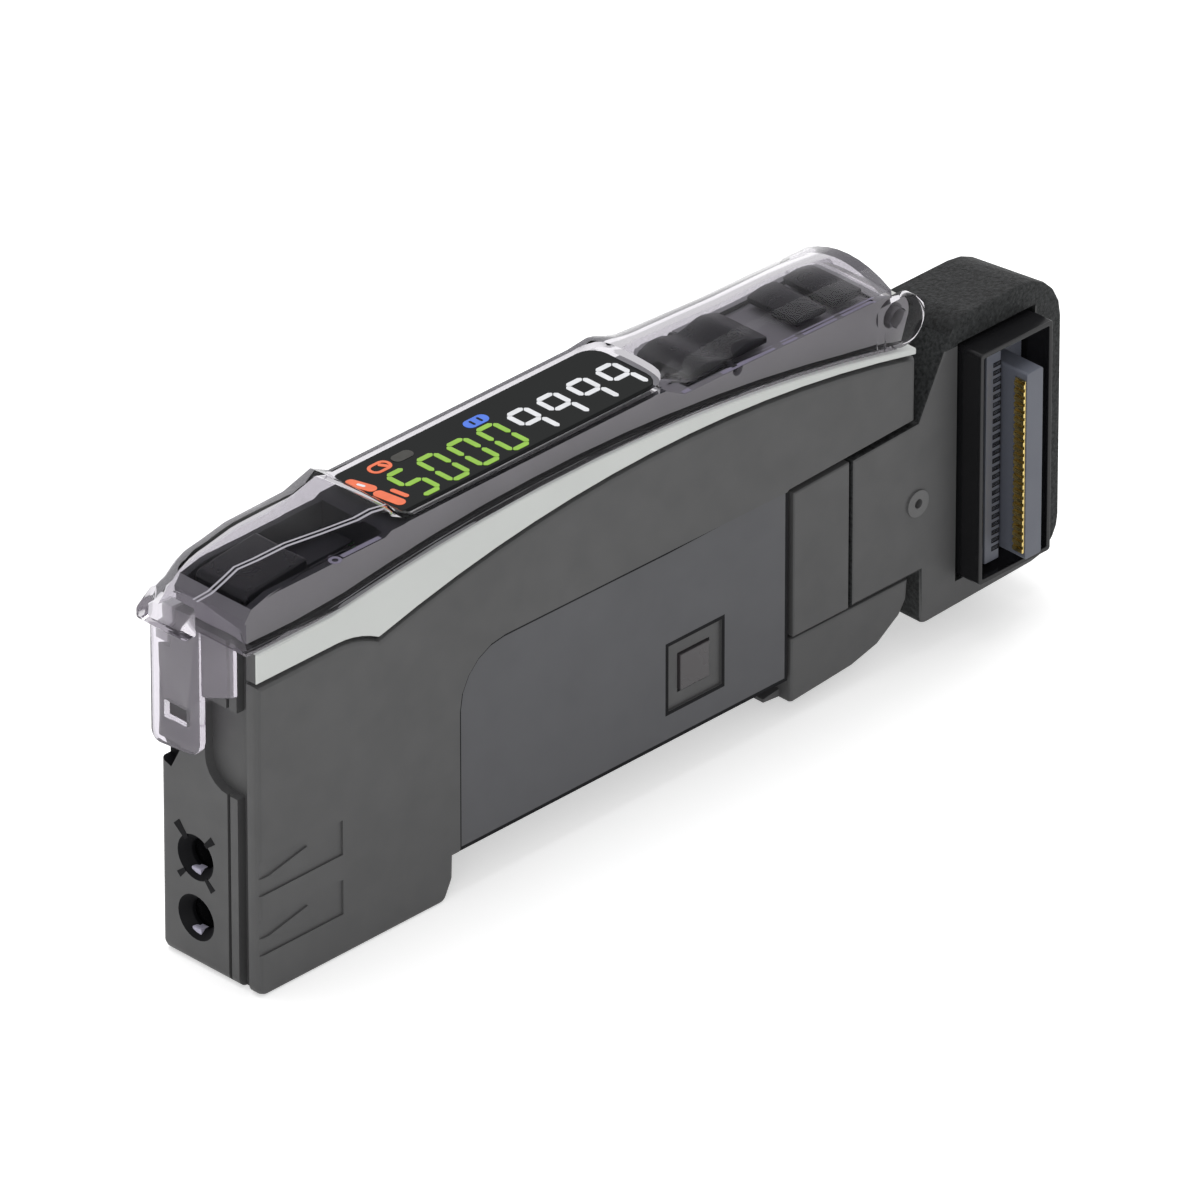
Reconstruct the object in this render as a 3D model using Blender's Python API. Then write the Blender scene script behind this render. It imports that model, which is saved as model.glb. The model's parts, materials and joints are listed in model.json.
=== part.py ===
"""Slim fibre optic sensor amplifier that clips on a 35 mm rail.

Metres, +Z up. +X runs from the fibre face to the rear connector block and -Y is
the side with the connector plug. Sizes are taken from a corner datum: X = 0 is
the fibre face, Y = 0 is the middle of the case and Z = 0 is under the front
block. One empty then carries the whole unit so that the middle of its footprint
is at the origin.
"""
import math

import bmesh
import bpy
from mathutils import Matrix, Vector

# Clearances
GAP = 0.0003            # between assembled pieces
RUN = 0.0004            # round a piece that moves
OVER = 0.001            # how far a cutter runs past a face

# Case
CASE_WIDTH = 0.0100
PLATE = 0.0011          # side plates and side strips
CORE_WALL = 0.0008      # wall of the raised core above the side plates
FLOOR = 0.0011          # front, bottom and rear walls of the case
CORNER = 0.0004         # rounding of the long outer edges
HALF = CASE_WIDTH / 2
CORE_HALF = HALF - PLATE - GAP

# Rail foot, and the parts behind it one after the other
RAIL_WIDTH = 0.0350
RAIL_THICKNESS = 0.0010
RAIL_PRELOAD = 0.0002   # how far the rail pushes the slider back
RAIL_SLACK = 0.0002     # room under the rail's edge in the hooks
FRONT_LIP = 0.00035     # how far the front hook reaches under the rail
REAR_LIP = 0.0017       # how far the slider's hook reaches forward
SEAT_RELIEF = 0.00015
FOOT_LENGTH = 0.0187
FOOT_LEAN = 0.0009
FOOT_DEPTH = 0.00343    # from under the front block to the rail seat
PANEL_LENGTH = 0.0058
OVERHANG = 0.0066       # upper case over the front of the rear block
REAR_REACH = 0.0153     # rear block behind the upper case
RAIL_FRONT = FOOT_LENGTH + FOOT_LEAN
SLIDER_FRONT = RAIL_FRONT + RAIL_WIDTH - RAIL_PRELOAD
HOOK_Z = FOOT_DEPTH - RAIL_THICKNESS - RAIL_SLACK
REAR_FRONT = SLIDER_FRONT + PANEL_LENGTH + GAP
CASE_LENGTH = REAR_FRONT + OVERHANG
REAR_END = CASE_LENGTH + REAR_REACH

# Side strips, each edge a long bow
CREST_Z = 0.0305
STRIP_TOP_X = CASE_LENGTH * 0.468
STRIP_TOP_RADIUS = CASE_LENGTH * 2.295
STRIP_TOP_START = 0.0080
STRIP_LOW_X = CASE_LENGTH * 0.6125
STRIP_LOW_Z = CREST_Z - 0.0017
STRIP_LOW_RADIUS = CASE_LENGTH * 1.684
STRIP_STEP_START = 0.0080
STRIP_STEP_END = 0.0122
STRIP_NOSE_Z = CREST_Z - 0.00425

# Seam between the upper case and the parts below it at the rear
SEAM_DROP = 0.0109
SEAM_Z = CREST_Z - SEAM_DROP
SEAM_RISE = 0.04

# Label field and relief marks on the side cover
LABEL_LEFT = RAIL_FRONT + 0.0006
LABEL_TOP = SEAM_Z + 0.0004
LABEL_RADIUS = 0.0046
LABEL_DEPTH = 0.0002
MARK_LENGTH = 0.0084
MARK_HEIGHT = 0.0029
MARK_LOW_Z = 0.0035
MARK_PITCH = 0.0050
MARK_DEPTH = 0.00015

# Optical windows between neighbouring units
WINDOW_X = SLIDER_FRONT - 0.0100
WINDOW_Z = FOOT_DEPTH + 0.00547
WINDOW_SIZE = 0.0030
WINDOW_FRAME = 0.0055
LINK_SIDE = 0.0024
LINK_HEIGHT = 0.0009
EMITTER_HEIGHT = 0.0017

# Fibre holes and the optics behind them
FIBRE_HOLE = 0.0024
FIBRE_MOUTH = 0.0037
FIBRE_Y = HALF - 0.0035
FIBRE_Z = 0.00405
FIBRE_PITCH = 0.00505
FIBRE_TOP_Z = FIBRE_Z + FIBRE_PITCH
GUIDE_START = FLOOR + 0.0005
GUIDE_WALL = 0.0007
HOLDER_LENGTH = 0.0036
HOLDER_LIP = 0.0010
APERTURE = 0.0016
DIODE_RADIUS = 0.0013

# Boards, chips and switches
BOARD = 0.0010
THIN_BOARD = 0.0008
BOARD_MARGIN = 0.0005   # from the optics board to the wall of the foot
OPTICS_END = FOOT_LENGTH - FLOOR - BOARD_MARGIN + 0.0001
GUIDE_LENGTH = OPTICS_END - GUIDE_START - 2 * GAP - HOLDER_LENGTH - THIN_BOARD
MAIN_BOARD_Y = 0.0006
POST_RADIUS = 0.0009
CAN_SIDE = 0.0076
CAN_HEIGHT = 0.0018
CAN_SHEET = 0.0003
CAN_X = FOOT_LENGTH + 0.0076
CAN_Z = FIBRE_TOP_Z + 0.0082
AMPLIFIER_SIDE = 0.0050
AMPLIFIER_HEIGHT = 0.0010
PROCESSOR_SIDE = 0.0070
PROCESSOR_HEIGHT = 0.0012
PROCESSOR_X = CAN_X + CAN_SIDE / 2 + PROCESSOR_SIDE / 2 + 0.0029
DISPLAY_BOARD_Z = CREST_Z - 0.0035
DISPLAY_BOARD_HALF = CORE_HALF - 0.0013
SWITCH_SIDE = 0.0028
SWITCH_HEIGHT = 0.0010
SWITCH_BUTTON = 0.0005
PLUNGER_RADIUS = 0.0007

# Hinge of the clear cover
COVER_WALL = 0.0006
COVER_SHADOW = 0.0003   # gap between the cover and the strips
EAR_RADIUS = 0.0021
EAR_LENGTH = 0.0028
EAR_WALL = 0.0008
PEG_RADIUS = 0.0008
PEG_PLAY = 0.0002
HINGE_END_RADIUS = 0.0016
HINGE_SETBACK = 0.0013
HINGE_X = CASE_LENGTH - HINGE_SETBACK
STRIP_REAR_DROP = STRIP_TOP_RADIUS - math.sqrt(STRIP_TOP_RADIUS ** 2 - (HINGE_X - STRIP_TOP_X) ** 2)
HINGE_Z = CREST_Z - STRIP_REAR_DROP + COVER_SHADOW + EAR_RADIUS + 0.0001

# Deck under the clear cover
DECK_FRONT = 0.0003
DECK_NOSE_Z = CREST_Z + 0.0015
DECK_DISPLAY_Z = CREST_Z + 0.0018
DECK_KEYS_Z = CREST_Z + 0.0008
DECK_FLOOR_Z = CREST_Z + 0.0001
DECK_PLATE = 0.0008
DECK_HALF = CORE_HALF
DECK_SIDE = 0.0006
SLOT_START = 0.0009
SLOT_END = 0.0143

# Keys, counted forward from the hinge
KEY_WELL_END = HINGE_X - HINGE_END_RADIUS
KEY_HALF_WIDTH = DECK_HALF - DECK_SIDE - RUN
KEY_LENGTH = 0.0030
KEY_TRAVEL = 0.00025
KEY_LIFT = 0.0005       # rest height of the keys over the deck's floor
KEY_CROWN = 0.0002
KEY_SKIN = 0.0004
KEY_TOP_Z = DECK_FLOOR_Z + 0.0012
KEY_END = 0.0005        # from a key to the end of the well
REAR_KEY_X = KEY_WELL_END - KEY_END - KEY_LENGTH / 2
FRONT_KEY_X = REAR_KEY_X - KEY_LENGTH - 0.0007
ROCKER_HALF_LENGTH = 0.0041
ROCKER_X = FRONT_KEY_X - KEY_LENGTH / 2 - 0.0031 - ROCKER_HALF_LENGTH
ROCKER_PEG = 0.0003
ROCKER_PIVOT_Z = DECK_FLOOR_Z + KEY_LIFT
LOBE_REACH = 0.0023
LOBE_RISE = 0.0006
KEY_WELL_START = ROCKER_X - ROCKER_HALF_LENGTH - KEY_END

# Display
DISPLAY_START = SLOT_END + 0.0024
DISPLAY_END = KEY_WELL_START - 0.0039
DISPLAY_HALF = DECK_HALF - 0.0006
DISPLAY_BASE_Z = CREST_Z + 0.0008
DISPLAY_FOOT_INSET = 0.0065
WINDOW_PLATE_TOP = CREST_Z + 0.0028
WINDOW_PLATE_THICKNESS = 0.0006
WINDOW_PLATE_LAP = 0.0009
WINDOW_PLATE_HALF = DECK_HALF

# Clear cover
COVER_NOSE = 0.0010
COVER_STEP = 0.0042     # from the display's end to the foot of the rear step
COVER_DOME = 0.0127     # from the display's end to the rear dome's level part
COVER_REAR = HINGE_X - 0.0008
COVER_SHOULDER_HALF = HALF - 0.00063
COVER_OPENING_LAP = 0.0013
COVER_OPENING_HALF = HALF - 0.00105
BEAK_REACH = 0.0025
BEAK_Z = CREST_Z - 0.0021
TAB_LOW_Z = BEAK_Z - 0.0104
TAB_WIDTH = 0.0050
TAB_FAR_Y = HALF - 0.0001
TAB_NEAR_Y = TAB_FAR_Y - TAB_WIDTH
TAB_SLOT_WIDTH = 0.0023
TAB_SLOT_HEIGHT = 0.00145
SKIRT_LOW_Z = BEAK_Z - 0.0048

# Face details
FACE_GROOVE_Y = HALF - 0.0030
FACE_GROOVE_WIDTH = 0.0003
FACE_GROOVE_DEPTH = 0.0003
SCOOP_DEPTH = 0.0008
NOTCH_DEPTH = 0.0010

# Fibre lock
KNOB_FRONT = 0.0013
KNOB_LENGTH = 0.0062
KNOB_HALF = CORE_HALF - 0.0010
KNOB_TOP_Z = DECK_NOSE_Z + 0.0006
KNOB_TRAVEL = 0.0020
KNOB_SINK = 0.0018      # depth of the knob below the deck's nose
WEDGE_SLOPE = 0.3
WEDGE_Z = DECK_NOSE_Z - 0.0058
CLAMP_X = KNOB_FRONT + 0.0042
CLAMP_LENGTH = 0.0020
CLAMP_NEAR_Y = FIBRE_Y - 0.0019
CLAMP_FAR_Y = FIBRE_Y + 0.0019
CLAMP_SHANK = FIBRE_Y + 0.0005
STEM_NEAR_Y = -KNOB_HALF + 0.0002
STEM_FAR_Y = CLAMP_NEAR_Y - 0.0002
CLAMP_EYE = 0.0028
PAD_RISE = 0.0003       # free height left over a fibre when locked

# Rear block
REAR_STEP = CASE_LENGTH + 0.0005
REAR_LOW_Z = 0.0024
REAR_TOP_Z = SEAM_Z + 0.0075
REAR_TOP_DROP = 0.0010
REAR_TOP_FRONT = CASE_LENGTH + 0.0041
REAR_NEAR_CORNER = 0.0042
REAR_LOW_CORNER = 0.0030
REAR_RIM = 0.0031
BOSS_X = REAR_FRONT + 0.0068
BOSS_Z = 0.0131
BOSS_RADIUS = 0.0011
BOSS_PROUD = 0.00015

# Bus connector
SHROUD_PROUD = 0.0021
SHROUD_LENGTH = 0.0076
SHROUD_FRONT = REAR_END - REAR_RIM - SHROUD_LENGTH
SHROUD_LOW_Z = 0.0050
SHROUD_HEIGHT = REAR_TOP_Z - 0.0025 - SHROUD_LOW_Z
SHROUD_WALL = 0.0004
TONGUE_PROUD = 0.0035
TONGUE_THICKNESS = 0.0017
TONGUE_SHIFT = 0.0005    # from the shroud's middle to the rear
TONGUE_DROP = 0.0005
TONGUE_HEIGHT = SHROUD_HEIGHT - 0.0038
CONTACT_COUNT = 24
CONTACT_PROUD = 0.0002
CONTACT_LAND = 0.0011    # length of each contact from near the tongue's tip
PLUG_RIDGE = 0.0015      # width of the ridge beside the tongue
PLUG_BASE_Y = -HALF + 0.0004
BUS_BOARD_Y = -HALF + 0.0028
TUNNEL_LOW_Z = 0.0112
TUNNEL_HEIGHT = 0.0070
REAR_FAR_Y = HALF - SHROUD_PROUD - 0.00015

# Rail slider
SLIDER_TOP_Z = 0.0068
SLIDER_TIP_Z = HOOK_Z - 0.00098
SLIDER_TRAVEL = 0.0006
SLIDER_REAR = REAR_STEP - SLIDER_TRAVEL - 0.0002
SLIDER_HALF = HALF - GAP
STEM_X = REAR_FRONT + 0.0007
STEM_LENGTH = 0.0028
STEM_HALF = 0.0014
STEM_HEAD_HALF = 0.0023
STEM_HEAD_HEIGHT = 0.0012
STEM_RISE = 0.0030
SPRING_RADIUS = 0.0010
SPRING_WIRE = 0.00014
SPRING_TURNS = 7
SPRING_END = STEM_X + 0.0086

ROUND_STEPS = 5
BOW_STEPS = 14

COLOURS = {
    "case": ((0.10, 0.10, 0.10), 0.55, 0.0),
    "strip": ((0.58, 0.60, 0.58), 0.45, 0.0),
    "clear": ((0.55, 0.53, 0.60), 0.08, 0.0),
    "deck": ((0.16, 0.16, 0.17), 0.60, 0.0),
    "key": ((0.05, 0.05, 0.06), 0.50, 0.0),
    "black": ((0.01, 0.01, 0.01), 0.15, 0.0),
    "slate": ((0.13, 0.14, 0.17), 0.40, 0.0),
    "gold": ((0.60, 0.42, 0.12), 0.30, 1.0),
    "steel": ((0.60, 0.60, 0.62), 0.30, 1.0),
    "board": ((0.02, 0.16, 0.07), 0.50, 0.0),
    "lens": ((0.20, 0.05, 0.05), 0.20, 0.0),
}


def clear_scene():
    """Remove every object that the file opened with."""
    for item in list(bpy.data.objects):
        bpy.data.objects.remove(item, do_unlink=True)


def material(name):
    """Return the named finish, made once from the table of colours."""
    found = bpy.data.materials.get(name)
    if found:
        return found
    colour, roughness, metallic = COLOURS[name]
    made = bpy.data.materials.new(name)
    made.use_nodes = True
    shader = made.node_tree.nodes["Principled BSDF"]
    shader.inputs["Base Color"].default_value = (*colour, 1.0)
    shader.inputs["Roughness"].default_value = roughness
    shader.inputs["Metallic"].default_value = metallic
    return made


class Unit:
    """The empty that carries every piece, and the way a piece is put on it."""

    def __init__(self):
        self.datum = bpy.data.objects.new("datum", None)
        middle_x = (REAR_END - BEAK_REACH) / 2
        middle_y = (HALF - (HALF + TONGUE_PROUD)) / 2
        self.datum.location = (-middle_x, -middle_y, 0.0)
        bpy.context.collection.objects.link(self.datum)

    def place(self, name, shape, finish, origin=(0.0, 0.0, 0.0), smooth=False):
        """Turn a bmesh into a named object whose own origin is the given point."""
        bmesh.ops.recalc_face_normals(shape, faces=shape.faces)
        bmesh.ops.translate(shape, verts=shape.verts, vec=-Vector(origin))
        mesh = bpy.data.meshes.new(name)
        shape.to_mesh(mesh)
        shape.free()
        mesh.materials.append(material(finish))
        if smooth:
            mesh.shade_smooth()
            mesh.set_sharp_from_angle(angle=math.radians(35))
        item = bpy.data.objects.new(name, mesh)
        bpy.context.collection.objects.link(item)
        item.parent = self.datum
        item.location = origin
        return item

    def boolean(self, item, shape, operation):
        """Cut a shape from a piece, or join it on, with an exact boolean."""
        tool = self.place(f"{item.name}_tool_{len(item.modifiers)}", shape, "case")
        tool.hide_render = True
        tool.display_type = "WIRE"
        step = item.modifiers.new(tool.name, "BOOLEAN")
        step.operation = operation
        step.solver = "EXACT"
        step.object = tool

    def cut(self, item, *shapes):
        for shape in shapes:
            self.boolean(item, shape, "DIFFERENCE")

    def join(self, item, *shapes):
        for shape in shapes:
            self.boolean(item, shape, "UNION")


def merged(*shapes):
    """Put several separate closed shapes into one bmesh, for one cutter."""
    result = bmesh.new()
    for shape in shapes:
        mesh = bpy.data.meshes.new("shape")
        bmesh.ops.recalc_face_normals(shape, faces=shape.faces)
        shape.to_mesh(mesh)
        shape.free()
        result.from_mesh(mesh)
        bpy.data.meshes.remove(mesh)
    return result


def rounded(points, steps=ROUND_STEPS):
    """Round the corners of an outline of (u, v, radius) points."""
    outline = []
    for index, (u, v, radius) in enumerate(points):
        here = Vector((u, v))
        if radius <= 0:
            outline.append((u, v))
            continue
        back = Vector(points[index - 1][:2]) - here
        ahead = Vector(points[(index + 1) % len(points)][:2]) - here
        half = back.angle(ahead) / 2
        radius = min(radius, 0.48 * min(back.length, ahead.length) * math.tan(half))
        centre = here + (back.normalized() + ahead.normalized()).normalized() * radius / math.sin(half)
        start = here + back.normalized() * radius / math.tan(half) - centre
        end = here + ahead.normalized() * radius / math.tan(half) - centre
        sweep = start.angle_signed(end)
        for step in range(steps + 1):
            spoke = Matrix.Rotation(-sweep * step / steps, 2) @ start
            outline.append(tuple(centre + spoke))
    return outline


def arc(u, v, radius, first, last, steps):
    """Points on an arc from one angle in degrees to another."""
    angles = [math.radians(first + (last - first) * step / steps) for step in range(steps + 1)]
    return [(u + radius * math.cos(a), v + radius * math.sin(a)) for a in angles]


def settle(shape):
    """Split every face that isn't flat, because exact booleans need flat faces."""
    bmesh.ops.recalc_face_normals(shape, faces=shape.faces)
    shape.normal_update()
    bent = []
    for face in shape.faces:
        middle = face.calc_center_median()
        if any(abs((vert.co - middle).dot(face.normal)) > 1e-9 for vert in face.verts):
            bent.append(face)
    bmesh.ops.triangulate(shape, faces=bent)
    return shape


def round_rims(shape, axis, rims):
    """Round the edges that lie at each (level, width) along an axis."""
    slot = "XYZ".index(axis)
    for level, width in rims:
        if width > 0:
            rim = [e for e in shape.edges if all(abs(v.co[slot] - level) < 1e-7 for v in e.verts)]
            bmesh.ops.bevel(shape, geom=rim, offset=width, segments=2, profile=0.5, affect="EDGES")


def prism(outline, start, end, axis="Y", edge=0.0, edge_far=0.0):
    """Extrude an outline along an axis, with its end edges rounded if asked."""
    lift = {
        "X": lambda u, v, w: (w, u, v),
        "Y": lambda u, v, w: (u, w, v),
        "Z": lambda u, v, w: (u, v, w)}[axis]
    shape = bmesh.new()
    face = shape.faces.new([shape.verts.new(lift(u, v, start)) for u, v in outline])
    grown = bmesh.ops.extrude_face_region(shape, geom=[face], use_keep_orig=True)
    moved = [part for part in grown["geom"] if isinstance(part, bmesh.types.BMVert)]
    bmesh.ops.translate(shape, verts=moved, vec=lift(0.0, 0.0, end - start))
    bmesh.ops.recalc_face_normals(shape, faces=shape.faces)
    round_rims(shape, axis, ((start, edge), (end, edge_far)))
    return settle(shape)


def box(x, y, z, round_axis=None, radius=0.0):
    """A block from three (low, high) pairs, with four edges rounded along one axis."""
    pairs = {"X": (y, z, x), "Y": (x, z, y), "Z": (x, y, z)}
    (u0, u1), (v0, v1), (w0, w1) = pairs[round_axis or "Y"]
    corners = [(u0, v0, radius), (u1, v0, radius), (u1, v1, radius), (u0, v1, radius)]
    return prism(rounded(corners), w0, w1, round_axis or "Y")


def turned(axis, centre, profile, segments=20):
    """A round solid about an axis through (u, v), from (position, radius) pairs."""
    place = {
        "X": lambda w, u, v: (w, u, v),
        "Y": lambda w, u, v: (u, w, v),
        "Z": lambda w, u, v: (u, v, w)}[axis]
    rings = []
    for position, radius in profile:
        angles = [2 * math.pi * step / segments for step in range(segments)]
        rings.append([place(position, centre[0] + radius * math.cos(a), centre[1] + radius * math.sin(a))
                      for a in angles])
    return loft(rings)


def pad(x, z, side, near, far):
    """A square block that faces along Y."""
    return box((x - side / 2, x + side / 2), (near, far), (z - side / 2, z + side / 2))


def round_bar(axis, centre, start, end, radius, segments=20):
    """A cylinder along an axis through a (u, v) centre."""
    return turned(axis, centre, ((start, radius), (end, radius)), segments)


def loft(rings, rims=(), axis="Y"):
    """Join a row of closed rings of points and close both ends."""
    shape = bmesh.new()
    loops = [[shape.verts.new(point) for point in ring] for ring in rings]
    for first, second in zip(loops, loops[1:]):
        for i in range(len(first)):
            shape.faces.new((first[i - 1], first[i], second[i], second[i - 1]))
    for loop in (loops[0], loops[-1]):
        shape.faces.new(loop)
    bmesh.ops.recalc_face_normals(shape, faces=shape.faces)
    round_rims(shape, axis, rims)
    return settle(shape)


def blend(table, x):
    """Read a smooth height from (x, value) rows."""
    for (x0, a), (x1, b) in zip(table, table[1:]):
        if x <= x1:
            t = min(max((x - x0) / (x1 - x0), 0.0), 1.0)
            t = t * t * (3 - 2 * t)
            return a + (b - a) * t
    return table[-1][1]


def bow(x, crest_x, crest_z, radius):
    return crest_z - radius + math.sqrt(radius ** 2 - (x - crest_x) ** 2)


def strip_top(x):
    """Upper edge of the side strips, level ahead of its bow."""
    return bow(max(x, STRIP_TOP_START), STRIP_TOP_X, CREST_Z, STRIP_TOP_RADIUS)


def strip_low(x):
    """Lower edge of the side strips, behind the step."""
    return bow(x, STRIP_LOW_X, STRIP_LOW_Z, STRIP_LOW_RADIUS)


def spaced(first, last, steps):
    return [first + (last - first) * step / steps for step in range(steps + 1)]


def seam(x):
    """Height of the seam under the upper case at the rear."""
    return SEAM_Z + SEAM_RISE * (x - SLIDER_FRONT)


def low_edge_points(shift):
    """The strips' lower edge from rear to front, moved down by shift."""
    points = [(x, strip_low(x) - shift) for x in spaced(CASE_LENGTH, STRIP_STEP_END, BOW_STEPS)]
    fall = STRIP_NOSE_Z - strip_low(STRIP_STEP_END)
    for share in spaced(0.8, 0.0, 4):
        x = STRIP_STEP_START + (STRIP_STEP_END - STRIP_STEP_START) * share
        points.append((x, STRIP_NOSE_Z - fall * share ** 2 - shift))
    return points + [(0.0, STRIP_NOSE_Z - shift)]


def side_outline():
    """Outline shared by the side cover and the far wall of the housing."""
    foot = rounded([
        (0.0, 0.0, 0.0008), (FOOT_LENGTH, 0.0, 0.0007),
        (RAIL_FRONT - FOOT_LEAN * 0.1, FOOT_DEPTH * 0.48, 0.0008),
        (RAIL_FRONT, FOOT_DEPTH, 0.0),
        (SLIDER_FRONT - GAP, FOOT_DEPTH, 0.0), (SLIDER_FRONT - GAP, seam(SLIDER_FRONT), 0.0),
        (CASE_LENGTH, seam(CASE_LENGTH), 0.0), (0.0, STRIP_LOW_Z, 0.0)])
    return foot[:-1] + low_edge_points(GAP)


def strip_outline():
    top = [(x, strip_top(x)) for x in spaced(0.0, CASE_LENGTH, BOW_STEPS + 4)]
    return top + low_edge_points(0.0)


def core_outline():
    """Outline of the housing between the side plates, up to the strips' top."""
    rear = CASE_LENGTH - GAP
    lower_rear = REAR_FRONT - GAP
    foot = rounded([
        (0.0, 0.0, 0.0008), (FOOT_LENGTH, 0.0, 0.0007),
        (RAIL_FRONT - FOOT_LEAN * 0.1, FOOT_DEPTH * 0.48, 0.0008),
        (RAIL_FRONT, FOOT_DEPTH, 0.0),
        (SLIDER_FRONT - GAP, FOOT_DEPTH, 0.0), (SLIDER_FRONT - GAP, SLIDER_TOP_Z + GAP, 0.0),
        (lower_rear, SLIDER_TOP_Z + GAP, 0.0), (lower_rear, seam(lower_rear), 0.0),
        (rear, seam(rear), 0.0), (0.0, STRIP_LOW_Z, 0.0)])
    return foot[:-1] + [(x, strip_top(x)) for x in spaced(rear, 0.0, BOW_STEPS)]


def post_places():
    """Where posts of the case hold the main board, as (x, z)."""
    front, heel, rear, low, top = main_board_edges()
    high = top - 2 * POST_RADIUS
    return [(CAN_X, high), (rear - 3 * POST_RADIUS, high), (CAN_X, low + 3.6 * POST_RADIUS)]


def main_board_edges():
    """Front, heel and rear X and low and top Z of the main board."""
    front = FOOT_LENGTH - FLOOR + 0.0001
    heel = SLIDER_FRONT - 2 * FLOOR - GAP
    rear = REAR_FRONT - FLOOR - 2 * GAP
    low = FOOT_DEPTH + FLOOR + GAP
    top = STRIP_NOSE_Z - PLATE - GAP
    return front, heel, rear, low, top


def main_board_outline():
    """Main board: stepped over the foot and the slider, with a neck into the rear block."""
    front, heel, rear, low, top = main_board_edges()
    step_x = RAIL_FRONT + 0.0016
    step_z = FIBRE_TOP_Z + 0.0031
    heel_z = SLIDER_TOP_Z + FLOOR + 2 * GAP
    neck_low = TUNNEL_LOW_Z + GAP
    neck_top = TUNNEL_LOW_Z + TUNNEL_HEIGHT - GAP
    neck_end = SHROUD_FRONT - GAP
    return [
        (front, step_z), (step_x, step_z), (step_x, low), (heel, low), (heel, heel_z), (rear, heel_z),
        (rear, neck_low), (neck_end, neck_low), (neck_end, neck_top), (rear, neck_top),
        (rear, top), (front, top)]


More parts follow.
